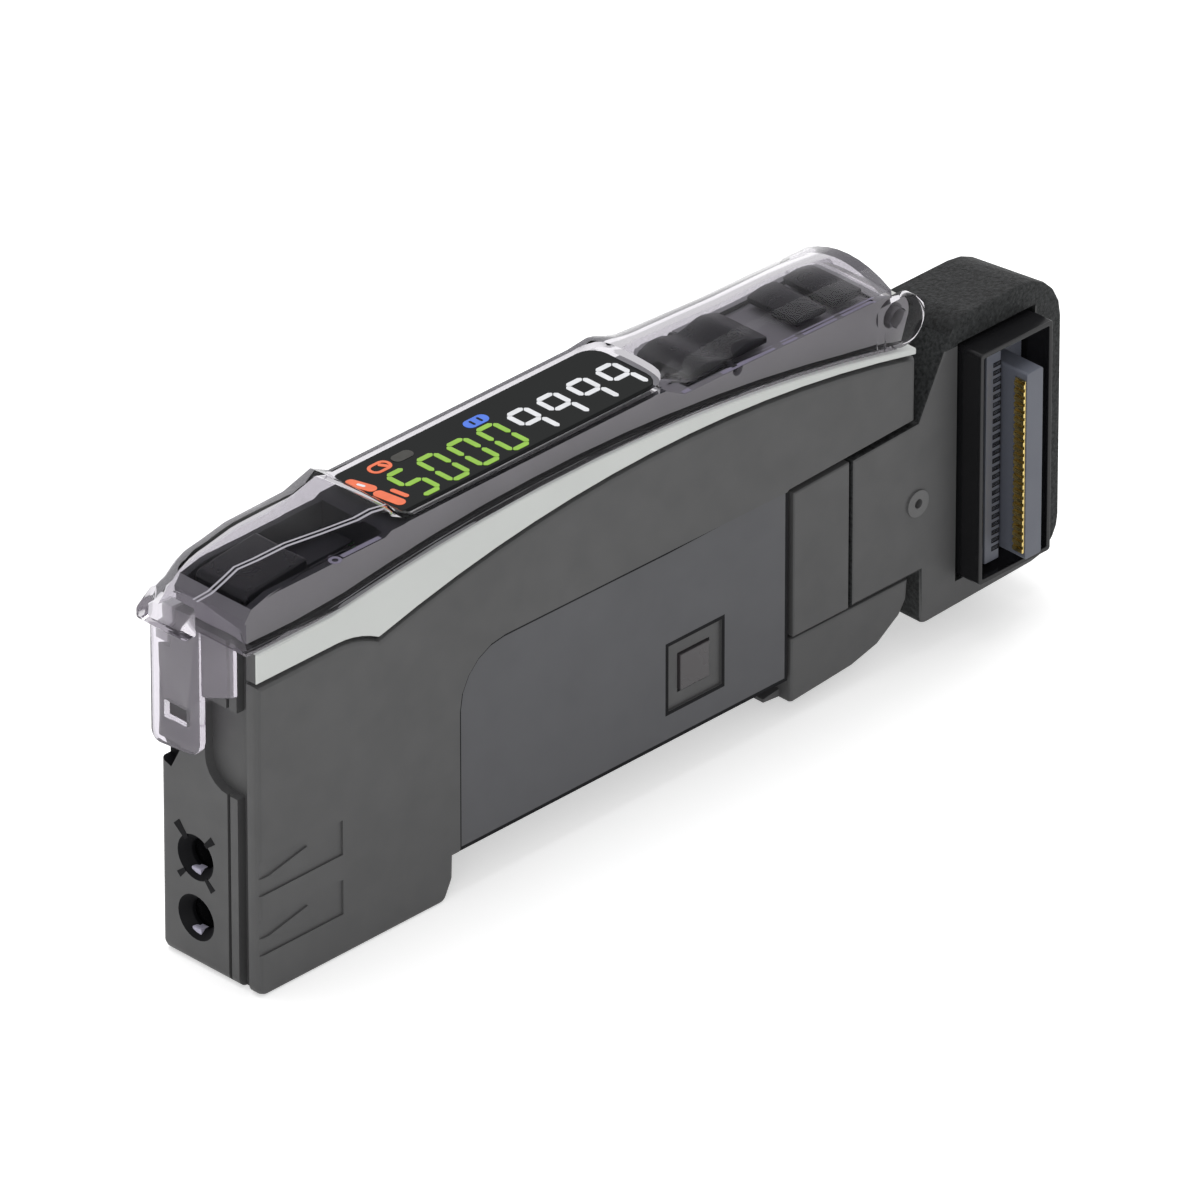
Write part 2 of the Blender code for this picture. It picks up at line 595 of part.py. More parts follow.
def build_housing(unit):
    """Moulded case: core, far wall, fibre face, rail seat and board posts."""
    housing = unit.place("housing", prism(core_outline(), -CORE_HALF, CORE_HALF), "case")
    unit.join(housing, prism(side_outline(), CORE_HALF - 0.0008, HALF, edge_far=CORNER))
    inner = HALF - PLATE
    wall_x = FOOT_LENGTH - FLOOR
    low = FOOT_DEPTH + FLOOR
    rear = REAR_FRONT - GAP - FLOOR
    side_well = [
        (FLOOR, FLOOR), (wall_x, FLOOR), (wall_x, low), (SLIDER_FRONT - 2 * FLOOR, low),
        (SLIDER_FRONT - 2 * FLOOR, SLIDER_TOP_Z + GAP + FLOOR), (rear, SLIDER_TOP_Z + GAP + FLOOR),
        (rear, seam(rear) + 2 * FLOOR), (CASE_LENGTH - GAP - FLOOR, seam(CASE_LENGTH) + FLOOR),
        (CASE_LENGTH - GAP - FLOOR, strip_low(CASE_LENGTH) - 2 * GAP),
        (STRIP_LOW_X, STRIP_LOW_Z - 2 * PLATE - FLOOR), (FLOOR, STRIP_NOSE_Z - PLATE - GAP)]
    unit.cut(housing, prism(side_well, -HALF, CORE_HALF - CORE_WALL - GAP))
    deeper = [(FLOOR, FLOOR), (wall_x, FLOOR), (wall_x, low), (SLIDER_FRONT - 2 * FLOOR, low),
              (SLIDER_FRONT - 2 * FLOOR, SEAM_Z - FLOOR), (FLOOR, SEAM_Z - FLOOR)]
    unit.cut(housing, prism(deeper, 0.0, inner))
    well_half = CORE_HALF - CORE_WALL
    unit.cut(housing, box((FLOOR, CASE_LENGTH - GAP - FLOOR), (-well_half, well_half),
                          (STRIP_NOSE_Z - 2 * PLATE, CREST_Z + OVER)))
    cone_end = FLOOR * 0.7
    flare = (FIBRE_MOUTH - FIBRE_HOLE) / 2 / cone_end
    bore = FIBRE_HOLE / 2
    mouth = ((-OVER, FIBRE_MOUTH / 2 + OVER * flare), (cone_end, bore), (FLOOR + OVER, bore))
    for z in (FIBRE_Z, FIBRE_TOP_Z):
        unit.cut(housing, turned("X", (FIBRE_Y, z), mouth, segments=28))
    groove_y = -FACE_GROOVE_Y - FACE_GROOVE_WIDTH / 2
    grooves = merged(
        box((-OVER, FACE_GROOVE_DEPTH), (groove_y, groove_y + FACE_GROOVE_WIDTH), (-OVER, CREST_Z + OVER)),
        box((-OVER, PLATE * 0.7), (-CORE_HALF - OVER, groove_y - 0.00075), (-OVER, CREST_Z + OVER)))
    unit.cut(housing, grooves)
    scoop_low = TAB_LOW_Z - 0.0022
    scoop_top = TAB_LOW_Z + 0.0050
    side = -CORE_HALF - OVER
    scoop = rounded([(0.0004, scoop_top, 0.0008), (side, scoop_top, 0.0), (side, scoop_low, 0.0),
                     (0.0004, scoop_low, 0.0030)])
    notch_top = TAB_LOW_Z + 0.0002
    notch = [(HALF + OVER, notch_top), (0.0026, notch_top), (0.0039, notch_top - 0.0025),
             (HALF + OVER, notch_top - 0.0018)]
    unit.cut(housing, prism(scoop, -OVER, SCOOP_DEPTH, "X"))
    unit.cut(housing, prism(notch, -OVER, NOTCH_DEPTH, "X"))
    lip_end = RAIL_FRONT + FRONT_LIP
    lip = [(wall_x, HOOK_Z - 0.0012), (lip_end - 0.0001, HOOK_Z - 0.0005),
           (lip_end, HOOK_Z), (wall_x, HOOK_Z)]
    unit.join(housing, prism(lip, -CORE_HALF + GAP / 2, CORE_HALF - GAP / 2))
    seat_top = FOOT_DEPTH + SEAT_RELIEF
    rear_relief = SLIDER_FRONT - REAR_LIP - GAP
    across = (-HALF, CORE_HALF)
    reliefs = merged(
        box((RAIL_FRONT + GAP / 3, lip_end + GAP), across, (FOOT_DEPTH - OVER / 2, seat_top)),
        box((rear_relief, SLIDER_FRONT + OVER), across, (FOOT_DEPTH - OVER, seat_top)))
    unit.cut(housing, reliefs)
    unit.cut(housing, box((rear - OVER, REAR_FRONT + OVER), (MAIN_BOARD_Y - RUN, MAIN_BOARD_Y + BOARD + RUN),
                          (TUNNEL_LOW_Z, TUNNEL_LOW_Z + TUNNEL_HEIGHT)))
    frame = WINDOW_FRAME / 2
    unit.cut(housing, box((WINDOW_X - frame, WINDOW_X + frame), (HALF - LABEL_DEPTH, HALF + OVER),
                          (WINDOW_Z - frame, WINDOW_Z + frame)))
    pane = WINDOW_SIZE / 2 + GAP / 2
    unit.cut(housing, box((WINDOW_X - pane, WINDOW_X + pane), (0.0, HALF + OVER),
                          (WINDOW_Z - pane, WINDOW_Z + pane)))
    posts = [round_bar("Y", place, MAIN_BOARD_Y + BOARD + GAP, HALF - PLATE / 2, POST_RADIUS, segments=16)
             for place in post_places()]
    unit.join(housing, merged(*posts))


def build_side_cover(unit):
    """Near side plate with the label field, relief marks and window seat."""
    cover = unit.place("side_cover", prism(side_outline(), -HALF, -HALF + PLATE, edge=CORNER), "case")
    rear = SLIDER_FRONT + OVER
    field = rounded([
        (LABEL_LEFT, FOOT_DEPTH - OVER, 0.0), (rear, FOOT_DEPTH - OVER, 0.0), (rear, LABEL_TOP - 0.0003, 0.0),
        (LABEL_LEFT, LABEL_TOP, LABEL_RADIUS)])
    unit.cut(cover, prism(field, -HALF - OVER, -HALF + LABEL_DEPTH))
    frame = WINDOW_FRAME / 2
    unit.cut(cover, box((WINDOW_X - frame, WINDOW_X + frame), (-HALF - OVER, -HALF + 2 * LABEL_DEPTH),
                        (WINDOW_Z - frame, WINDOW_Z + frame)))
    pane = WINDOW_SIZE / 2 + GAP / 2
    unit.cut(cover, box((WINDOW_X - pane, WINDOW_X + pane), (-HALF - OVER, 0.0),
                        (WINDOW_Z - pane, WINDOW_Z + pane)))
    for z in (MARK_LOW_Z, MARK_LOW_Z + MARK_PITCH):
        middle = z + MARK_HEIGHT / 2
        tip = MARK_LENGTH * 0.12
        wing = MARK_LENGTH * 0.58
        rise = MARK_HEIGHT * 0.28
        field = [(-OVER, z), (MARK_LENGTH, z), (MARK_LENGTH, z + MARK_HEIGHT), (-OVER, z + MARK_HEIGHT),
                 (-OVER, middle), (tip, middle), (wing, middle + rise), (wing, middle - rise),
                 (tip, middle - 1e-5), (-OVER, middle - 1e-5)]
        unit.cut(cover, prism(field, -HALF - OVER, -HALF + MARK_DEPTH))
    posts = [round_bar("Y", place, -HALF + PLATE / 2, MAIN_BOARD_Y - GAP, POST_RADIUS, segments=16)
             for place in post_places()]
    unit.join(cover, merged(*posts))


def build_side_pieces(unit):
    """Strips, guide plates and optical windows, one of each per side."""
    for side, name in ((-1, "near"), (1, "far")):
        outer = side * HALF
        inner = side * (HALF - PLATE)
        low, high = min(outer, inner), max(outer, inner)
        near_edge = CORNER * 0.3 if side < 0 else 0.0
        far_edge = CORNER * 0.3 if side > 0 else 0.0
        stripe = prism(strip_outline(), low, high, edge=near_edge, edge_far=far_edge)
        unit.place(f"side_stripe_{name}", stripe, "strip")
        rear = REAR_FRONT - GAP
        plate = [(SLIDER_FRONT, SLIDER_TOP_Z + GAP), (rear, SLIDER_TOP_Z + GAP),
                 (rear, seam(rear) - GAP), (SLIDER_FRONT, seam(SLIDER_FRONT) - GAP)]
        unit.place(f"guide_plate_{name}", prism(plate, low, high, edge=near_edge, edge_far=far_edge), "case")
        face = side * (HALF - LABEL_DEPTH)
        near_stop = MAIN_BOARD_Y - EMITTER_HEIGHT - 2 * GAP
        stop = near_stop if side < 0 else MAIN_BOARD_Y + BOARD + LINK_HEIGHT + 2 * GAP
        half = WINDOW_SIZE / 2
        unit.place(f"comms_window_{name}",
                   box((WINDOW_X - half, WINDOW_X + half), (min(face, stop), max(face, stop)),
                       (WINDOW_Z - half, WINDOW_Z + half)), "lens")


def deck_outline():
    """Side view of the deck, from its seat on the housing to its top."""
    rear = HINGE_X + HINGE_END_RADIUS
    seat = [(x, strip_top(x) + GAP) for x in spaced(DECK_FRONT, rear - HINGE_END_RADIUS / 2, BOW_STEPS)]
    end = arc(HINGE_X, HINGE_Z, HINGE_END_RADIUS, -35, 90, 8)
    top = [(KEY_WELL_END, DECK_KEYS_Z - 0.0004), (DISPLAY_END + 0.0030, DECK_KEYS_Z),
           (DISPLAY_END + 0.0012, DECK_DISPLAY_Z), (DISPLAY_START - 0.0020, DECK_DISPLAY_Z),
           (DISPLAY_START - 0.0026, DECK_NOSE_Z), (DECK_FRONT + 0.0024, DECK_NOSE_Z),
           (DECK_FRONT + 0.0006, DECK_NOSE_Z - 0.0005), (DECK_FRONT, DECK_NOSE_Z - 0.0013)]
    return seat + end + top


def build_top_deck(unit):
    """Frame under the clear cover: lock slot, display pocket and key well."""
    deck = unit.place("top_deck", prism(deck_outline(), -DECK_HALF, DECK_HALF), "deck")
    well = DECK_HALF - DECK_SIDE
    slot_half = KNOB_HALF + RUN
    unit.cut(deck, box((SLOT_START, SLOT_END), (-slot_half, slot_half),
                       (DECK_NOSE_Z - KNOB_SINK - GAP, DECK_NOSE_Z + OVER)))
    unit.cut(deck, box((SLOT_START, SLOT_END), (STEM_NEAR_Y - RUN, STEM_FAR_Y + RUN),
                       (CREST_Z - 0.0040, DECK_NOSE_Z - KNOB_SINK)))
    unit.cut(deck, box((DISPLAY_START - 0.0012, KEY_WELL_END), (-well, well),
                       (DISPLAY_BOARD_Z - 0.0020, DECK_FLOOR_Z - DECK_PLATE)))
    pocket_half = DISPLAY_HALF + GAP
    unit.cut(deck, box((DISPLAY_START - GAP, DISPLAY_END + GAP), (-pocket_half, pocket_half),
                       (DISPLAY_BASE_Z, DECK_DISPLAY_Z + OVER)))
    foot = (DISPLAY_START + DISPLAY_FOOT_INSET, DISPLAY_END - DISPLAY_FOOT_INSET + 0.0012)
    unit.cut(deck, box(foot, (-DISPLAY_HALF / 2, DISPLAY_HALF / 2),
                       (DISPLAY_BASE_Z - 3 * DECK_PLATE, DISPLAY_BASE_Z + OVER)))
    unit.cut(deck, box((KEY_WELL_START, KEY_WELL_END), (-well, well), (DECK_FLOOR_Z, DECK_KEYS_Z + OVER)))
    holes = [round_bar("Z", (x, 0.0), DECK_FLOOR_Z - 3 * DECK_PLATE, DECK_FLOOR_Z + OVER,
                       PLUNGER_RADIUS + RUN, segments=16) for x in switch_places()]
    unit.cut(deck, merged(*holes))
    unit.cut(deck, round_bar("Y", (HINGE_X, HINGE_Z), -HALF, HALF, PEG_RADIUS + PEG_PLAY, segments=20))
    unit.cut(deck, round_bar("Y", (ROCKER_X, ROCKER_PIVOT_Z), -HALF, HALF, ROCKER_PEG + PEG_PLAY,
                             segments=12))


def switch_places():
    """X of each switch: two under the rocker, one under each key."""
    return [ROCKER_X - LOBE_REACH, ROCKER_X + LOBE_REACH, FRONT_KEY_X, REAR_KEY_X]


def build_display(unit):
    """Digit module in its pocket and the black window over it."""
    module = unit.place("display_module", box(
        (DISPLAY_START, DISPLAY_END), (-DISPLAY_HALF, DISPLAY_HALF),
        (DISPLAY_BASE_Z + GAP, WINDOW_PLATE_TOP - WINDOW_PLATE_THICKNESS - GAP)), "black")
    board_top = DISPLAY_BOARD_Z + THIN_BOARD
    foot = (DISPLAY_START + DISPLAY_FOOT_INSET + RUN, DISPLAY_END - DISPLAY_FOOT_INSET + 0.0012 - RUN)
    unit.join(module, box(foot, (-DISPLAY_HALF / 2 + RUN, DISPLAY_HALF / 2 - RUN),
                          (board_top + GAP, DISPLAY_BASE_Z + 2 * GAP)))
    start = DISPLAY_START - WINDOW_PLATE_LAP
    end = DISPLAY_END + WINDOW_PLATE_LAP
    half = WINDOW_PLATE_HALF
    pane = rounded([(start, -half, 0.0006), (end, -half, 0.0016), (end, half, 0.0016), (start, half, 0.0006)])
    unit.place("display_window", prism(
        pane, WINDOW_PLATE_TOP - WINDOW_PLATE_THICKNESS, WINDOW_PLATE_TOP, "Z", edge_far=0.0001), "black")


def build_keys(unit):
    """Rocker with two lobes, and the two push keys behind it."""
    low = DECK_FLOOR_Z + KEY_LIFT
    lobes = [(ROCKER_X - ROCKER_HALF_LENGTH, low), (ROCKER_X + ROCKER_HALF_LENGTH, low)]
    for x in spaced(ROCKER_X + ROCKER_HALF_LENGTH, ROCKER_X - ROCKER_HALF_LENGTH, 20):
        share = abs(x - ROCKER_X) / LOBE_REACH
        wave = LOBE_RISE * math.exp(-((share - 1) ** 2) * 2.2)
        lobes.append((x, low + KEY_SKIN + wave))
    rocker = unit.place("rocker_key", prism(
        lobes, -KEY_HALF_WIDTH, KEY_HALF_WIDTH, edge=KEY_SKIN / 4, edge_far=KEY_SKIN / 4),
        "key", origin=(ROCKER_X, 0.0, ROCKER_PIVOT_Z))
    peg_end = DECK_HALF - DECK_SIDE + GAP
    unit.join(rocker, round_bar("Y", (ROCKER_X, ROCKER_PIVOT_Z), -peg_end, peg_end, ROCKER_PEG, segments=12))
    plunger_low = DISPLAY_BOARD_Z + THIN_BOARD + GAP + SWITCH_HEIGHT + SWITCH_BUTTON + KEY_TRAVEL + 0.00005
    feet = [round_bar("Z", (x, 0.0), plunger_low, low + KEY_SKIN / 2, PLUNGER_RADIUS, segments=12)
            for x in switch_places()[:2]]
    unit.join(rocker, merged(*feet))
    for name, x in (("front_key", FRONT_KEY_X), ("rear_key", REAR_KEY_X)):
        half = KEY_LENGTH / 2
        cap = [(x - half, low), (x + half, low)]
        for step in spaced(1.0, -1.0, 10):
            cap.append((x + half * step, KEY_TOP_Z - KEY_CROWN * step ** 2))
        rim = KEY_SKIN / 4
        key = unit.place(name, prism(cap, -KEY_HALF_WIDTH, KEY_HALF_WIDTH, edge=rim, edge_far=rim), "key",
                         origin=(x, 0.0, low))
        unit.join(key, round_bar("Z", (x, 0.0), plunger_low, low + KEY_SKIN / 2, PLUNGER_RADIUS, segments=12))


def build_boards(unit):
    """Main board with its parts, the display board and the four switches."""
    unit.place("main_board", prism(main_board_outline(), MAIN_BOARD_Y, MAIN_BOARD_Y + BOARD), "board")
    face = MAIN_BOARD_Y - GAP
    unit.place("processor_chip", pad(
        PROCESSOR_X, CAN_Z, PROCESSOR_SIDE, face - PROCESSOR_HEIGHT, face), "black")
    unit.place("amplifier_chip", pad(CAN_X, CAN_Z, AMPLIFIER_SIDE, face - AMPLIFIER_HEIGHT, face), "black")
    can = unit.place("shield_can", pad(CAN_X, CAN_Z, CAN_SIDE, face - CAN_HEIGHT, face), "steel")
    unit.cut(can, pad(CAN_X, CAN_Z, CAN_SIDE - 2 * CAN_SHEET, face - CAN_HEIGHT + CAN_SHEET, face + OVER))
    unit.place("link_emitter", pad(WINDOW_X, WINDOW_Z, LINK_SIDE, face - EMITTER_HEIGHT, face), "lens")
    far = MAIN_BOARD_Y + BOARD + GAP
    unit.place("link_receiver", pad(WINDOW_X, WINDOW_Z, LINK_SIDE, far, far + LINK_HEIGHT), "lens")
    unit.place("display_board", box(
        (DISPLAY_START - RUN, KEY_WELL_END - RUN), (-DISPLAY_BOARD_HALF, DISPLAY_BOARD_HALF),
        (DISPLAY_BOARD_Z, DISPLAY_BOARD_Z + THIN_BOARD)), "board")
    low = DISPLAY_BOARD_Z + THIN_BOARD + GAP
    half = SWITCH_SIDE / 2
    for index, x in enumerate(switch_places()):
        switch = unit.place(f"tact_switch_{index + 1}", box(
            (x - half, x + half), (-half, half), (low, low + SWITCH_HEIGHT)), "steel")
        unit.join(switch, round_bar("Z", (x, 0.0), low + SWITCH_HEIGHT / 2,
                                    low + SWITCH_HEIGHT + SWITCH_BUTTON, PLUNGER_RADIUS, segments=12))


def cover_shoulder(x):
    """Height of the clear cover's shoulders along the case."""
    start = DISPLAY_START - 0.0010
    end = DISPLAY_END
    rows = ((-COVER_NOSE, -0.0024), (0.0020, -0.0007), (0.0060, 0.0), (start - 0.0039, 0.0001),
            (start - 0.0012, 0.0009), (start + 0.0006, 0.0), (end - 0.0008, 0.0), (end + 0.0011, 0.0002),
            (end + COVER_STEP, -0.0007), (end + COVER_DOME, -0.0012), (COVER_REAR, -0.00145))
    return WINDOW_PLATE_TOP + blend(rows, x)


def cover_rise(x):
    """How far the crown of the clear cover stands over its shoulders."""
    start = DISPLAY_START - 0.0012
    end = DISPLAY_END
    rows = ((-COVER_NOSE, 0.0006), (0.0020, 0.0008), (start - 0.0030, 0.0008), (start, 0.00005),
            (end, 0.00005), (end + 0.0018, 0.0006), (end + COVER_STEP, 0.0010),
            (end + COVER_DOME - 0.0020, 0.00125), (COVER_REAR, 0.00125))
    return blend(rows, x)


def cover_stations():
    """X of each section of the cover: close together where its height changes fast."""
    start = DISPLAY_START - 0.0010
    end = DISPLAY_END
    dome = end + COVER_DOME
    nose = [-COVER_NOSE, 0.0, 0.0010, 0.0020, 0.0035, 0.0060]
    bump = [start - 0.0067, start - 0.0039, start - 0.0026, start - 0.0012, start - 0.0003, start + 0.0006]
    level = spaced(start + 0.0006, end - 0.0008, 4)[1:]
    step = [end + 0.0003, end + 0.0011, end + 0.0020, end + 0.0030, end + COVER_STEP]
    rest = [(end + COVER_STEP + dome) / 2, dome, (dome + COVER_REAR) / 2, COVER_REAR]
    return nose + bump + level + step + rest


def cover_ridge(x):
    """Y of the crease that runs over the front dome, from the finger lip to the display's corner."""
    return blend(((-COVER_NOSE, 0.0002), (0.0010, -0.0008), (0.0064, -0.0019), (0.0110, -0.0029),
                  (DISPLAY_START - 0.0016, -0.0036)), x)


def cover_arch(x, half):
    """Y and share of the crown for each point across the top of the cover."""
    ridge = cover_ridge(x)
    creased = [(-half, 0.0), ((ridge - half) / 2, 0.5)]
    shares = (1.0, 0.98, 0.94, 0.86, 0.72, 0.44, 0.0)
    creased += [(y, share) for y, share in zip(spaced(ridge, half, 6), shares)]
    even = [(half * step, 1 - step ** 2) for step in spaced(-1.0, 1.0, 8)]
    mix = blend(((DISPLAY_START - 0.0022, 0.0), (DISPLAY_START - 0.0004, 1.0)), x)
    return [(a[0] + (b[0] - a[0]) * mix, a[1] + (b[1] - a[1]) * mix) for a, b in zip(creased, even)]


def cover_ring(x, inset=0.0, drop=0.0):
    """One section of the cover across Y, made smaller by inset and longer by drop."""
    base = strip_top(x) + COVER_SHADOW
    edge = HALF - inset
    side = [(x, -edge, base)]
    if drop > 0:
        side.insert(0, (x, -edge, base - drop))
    half = COVER_SHOULDER_HALF - inset
    arch = []
    for y, share in cover_arch(x, half):
        arch.append((x, y, cover_shoulder(x) + cover_rise(x) * share - inset))
    return side + arch + [(x, -y, z) for x, y, z in reversed(side)]


def build_cover(unit):
    """Clear hinged cover: arched shell, latch tab, finger lip and ears with pegs."""
    stations = cover_stations()
    origin = (HINGE_X, 0.0, HINGE_Z)
    outer = [cover_ring(x) for x in stations]
    cover = unit.place("protective_cover", loft(outer), "clear", origin=origin)
    nose = -COVER_NOSE
    inside = nose + COVER_WALL * 0.6
    root_z = strip_top(0.0) + COVER_SHADOW + COVER_WALL
    beak = rounded([
        (inside, BEAK_Z, 0.0), (-BEAK_REACH + 0.0007, BEAK_Z, 0.0004), (-BEAK_REACH, BEAK_Z + 0.0004, 0.0004),
        (-BEAK_REACH, BEAK_Z + 0.0013, 0.0005), (nose, BEAK_Z + 0.0024, 0.0), (inside, BEAK_Z + 0.0024, 0.0)],
        steps=3)
    unit.join(cover, prism(beak, TAB_NEAR_Y + 0.0003, HALF - 0.0002, edge=0.0002, edge_far=0.0002))
    tab_front = nose + 0.00005
    tab_back = -RUN
    tab = rounded([
        (TAB_NEAR_Y, TAB_LOW_Z + 0.0005, 0.0012), (TAB_FAR_Y, TAB_LOW_Z, 0.0008),
        (TAB_FAR_Y, root_z, 0.0), (TAB_NEAR_Y, root_z, 0.0)], steps=3)
    skirt_near = -CORE_HALF + 0.0002
    skirt = [(skirt_near, SKIRT_LOW_Z + 0.0012), (TAB_NEAR_Y - 0.0004, SKIRT_LOW_Z),
             (TAB_NEAR_Y + 0.0008, SKIRT_LOW_Z), (TAB_NEAR_Y + 0.0008, root_z - 0.0001),
             (skirt_near, root_z - 0.0001)]
    unit.join(cover, prism(tab, tab_front, tab_back, "X"))
    unit.join(cover, prism(skirt, tab_front + 0.0002, tab_back, "X"))
    ear_start = HINGE_X - EAR_LENGTH
    ear = [(ear_start, strip_top(ear_start) + 2 * COVER_SHADOW)]
    ear += arc(HINGE_X, HINGE_Z, EAR_RADIUS, -100, 90, 14)
    ear += [(ear_start, HINGE_Z + EAR_RADIUS)]
    for side in (-1, 1):
        near, far = sorted((side * (HALF - EAR_WALL), side * HALF))
        unit.join(cover, prism(ear, near, far))
    inner_start = -RUN
    inner_end = COVER_REAR - COVER_WALL
    inner = [x for x in stations if inner_start < x < inner_end]
    hollow = [cover_ring(x, COVER_WALL, OVER) for x in [inner_start] + inner + [inner_end]]
    unit.cut(cover, loft(hollow))
    between = HALF - EAR_WALL
    unit.cut(cover, box((inner_end - OVER, COVER_REAR + 3 * EAR_RADIUS), (-between, between),
                        (HINGE_Z - 2 * EAR_RADIUS, HINGE_Z + EAR_RADIUS + 0.0001)))
    for side in (-1, 1):
        near, far = sorted((side * (DECK_HALF - 0.0010), side * (HALF - EAR_WALL / 2)))
        unit.join(cover, round_bar("Y", (HINGE_X, HINGE_Z), near, far, PEG_RADIUS, segments=16))
    half = COVER_OPENING_HALF
    start = DISPLAY_START - COVER_OPENING_LAP
    end = DISPLAY_END + COVER_OPENING_LAP
    opening = rounded([
        (start, -half, 0.0006), (end, -half, 0.0016), (end, half, 0.0016), (start, half, 0.0006)])
    unit.cut(cover, prism(opening, DECK_KEYS_Z, WINDOW_PLATE_TOP + 0.0030, "Z"))
    slot_y = (TAB_NEAR_Y + TAB_FAR_Y) / 2
    slot_z = TAB_LOW_Z + 0.00245
    unit.cut(cover, box((tab_front - OVER, OVER), (slot_y - TAB_SLOT_WIDTH / 2, slot_y + TAB_SLOT_WIDTH / 2),
                        (slot_z, slot_z + TAB_SLOT_HEIGHT)))


def build_fibre_lock(unit):
    """Sliding knob whose wedge lifts the clamp plate off both fibres."""
    back = KNOB_FRONT + KNOB_LENGTH
    seat = DECK_NOSE_Z - KNOB_SINK
    top = rounded([
        (KNOB_FRONT, seat, 0.0), (back, seat, 0.0),
        (back, KNOB_TOP_Z, 0.0004), (KNOB_FRONT, KNOB_TOP_Z - 0.0006, 0.0006)], steps=3)
    knob = unit.place("lock_knob", prism(top, -KNOB_HALF, KNOB_HALF, edge=0.0002, edge_far=0.0002), "key")
    stem_end = CLAMP_X - KNOB_TRAVEL - RUN
    wedge_end = CLAMP_X + CLAMP_LENGTH + 0.0010

    def wedge_z(x):
        return WEDGE_Z + WEDGE_SLOPE * (CLAMP_X - x)

    stem_front = KNOB_FRONT + RUN / 2
    stem_low = WEDGE_Z - 0.0012
    stem = [(stem_front, stem_low), (wedge_end, stem_low), (wedge_end, wedge_z(wedge_end)),
            (stem_end, wedge_z(stem_end)), (stem_end, seat + 0.0004), (stem_front, seat + 0.0004)]
    unit.join(knob, prism(stem, STEM_NEAR_Y, STEM_FAR_Y))
    rear = CLAMP_X + CLAMP_LENGTH
    upper_top = FIBRE_TOP_Z + FIBRE_HOLE / 2 + PAD_RISE
    lower_top = FIBRE_Z + FIBRE_HOLE / 2 + PAD_RISE
    head_top = upper_top + 0.0012
    lug_top = WEDGE_Z + 0.0018
    clamp = unit.place("fibre_clamp", box(
        (CLAMP_X, rear), (CLAMP_NEAR_Y, CLAMP_FAR_Y), (lower_top, head_top)), "steel")
    unit.join(clamp, box((CLAMP_X, rear), (CLAMP_NEAR_Y + GAP, CLAMP_SHANK), (head_top - 0.0005, lug_top)))
    lug = [(CLAMP_X, wedge_z(CLAMP_X) + GAP), (rear, wedge_z(rear) + GAP),
           (rear, lug_top), (CLAMP_X, lug_top)]
    unit.join(clamp, prism(lug, STEM_NEAR_Y, CLAMP_SHANK / 2))
    unit.cut(clamp, box((CLAMP_X - OVER, rear + OVER), (FIBRE_Y - CLAMP_EYE / 2, FIBRE_Y + CLAMP_EYE / 2),
                        (upper_top - CLAMP_EYE, upper_top)))


def build_optics(unit):
    """Fibre guide, and the holder, emitter, receiver and board behind it."""
    start = GUIDE_START
    end = start + GUIDE_LENGTH
    near = FIBRE_Y - FIBRE_HOLE / 2 - GUIDE_WALL
    far = HALF - PLATE - GAP
    low = FLOOR + GAP
    high = FIBRE_TOP_Z + FIBRE_HOLE / 2 + GUIDE_WALL + 0.0001
    guide = unit.place("fibre_guide", box((start, end), (near, far), (low, high)), "black")
    bores = [round_bar("X", (FIBRE_Y, z), start - OVER, end + OVER, FIBRE_HOLE / 2 + 0.0001, segments=20)
             for z in (FIBRE_Z, FIBRE_TOP_Z)]
    unit.cut(guide, merged(*bores))
    unit.cut(guide, box((CLAMP_X - GAP, CLAMP_X + CLAMP_LENGTH + GAP),
                        (CLAMP_NEAR_Y - GAP, CLAMP_FAR_Y + GAP), (FIBRE_Z + FIBRE_HOLE / 4, high + OVER)))
    holder_start = end + GAP
    holder_end = holder_start + HOLDER_LENGTH
    holder = unit.place("optics_holder", box((holder_start, holder_end), (near, far), (low, high)), "black")
    apertures = []
    seats = []
    for z in (FIBRE_Z, FIBRE_TOP_Z):
        place = (FIBRE_Y, z)
        back = holder_end + OVER
        apertures.append(round_bar("X", place, holder_start - OVER, back, APERTURE / 2, segments=16))
        seats.append(round_bar("X", place, holder_start + HOLDER_LIP, back, DIODE_RADIUS + GAP, segments=16))
    unit.cut(holder, merged(*apertures))
    unit.cut(holder, merged(*seats))
    for name, z in (("emitter_led", FIBRE_Z), ("receiver_diode", FIBRE_TOP_Z)):
        front = holder_start + HOLDER_LIP + GAP
        unit.place(name, round_bar("X", (FIBRE_Y, z), front, holder_end, DIODE_RADIUS, segments=16), "lens")
    board_start = holder_end + GAP
    unit.place("optics_board", box(
        (board_start, board_start + THIN_BOARD), (near - 0.0012, far), (low, high + GAP)), "board")


def rear_ring(y):
    """Outline of the rear block, whose top falls toward the far side."""
    share = (y + HALF) / (REAR_FAR_Y + HALF)
    notch_z = seam(REAR_STEP)
    points = rounded([
        (REAR_FRONT, SLIDER_TOP_Z + GAP, 0.0), (REAR_STEP, SLIDER_TOP_Z + GAP, 0.0),
        (REAR_STEP, REAR_LOW_Z, 0.0008), (REAR_END, REAR_LOW_Z + 0.0006, REAR_LOW_CORNER),
        (REAR_END, REAR_TOP_Z, REAR_NEAR_CORNER), (REAR_TOP_FRONT, REAR_TOP_Z, 0.0022),
        (CASE_LENGTH + GAP, notch_z - GAP, 0.0), (REAR_FRONT, seam(REAR_FRONT) - GAP, 0.0)])
    ring = []
    for x, z in points:
        lift = min(max((z - notch_z) / (REAR_TOP_Z - notch_z), 0.0), 1.0)
        ring.append((x, y, z - REAR_TOP_DROP * share * lift))
    return ring


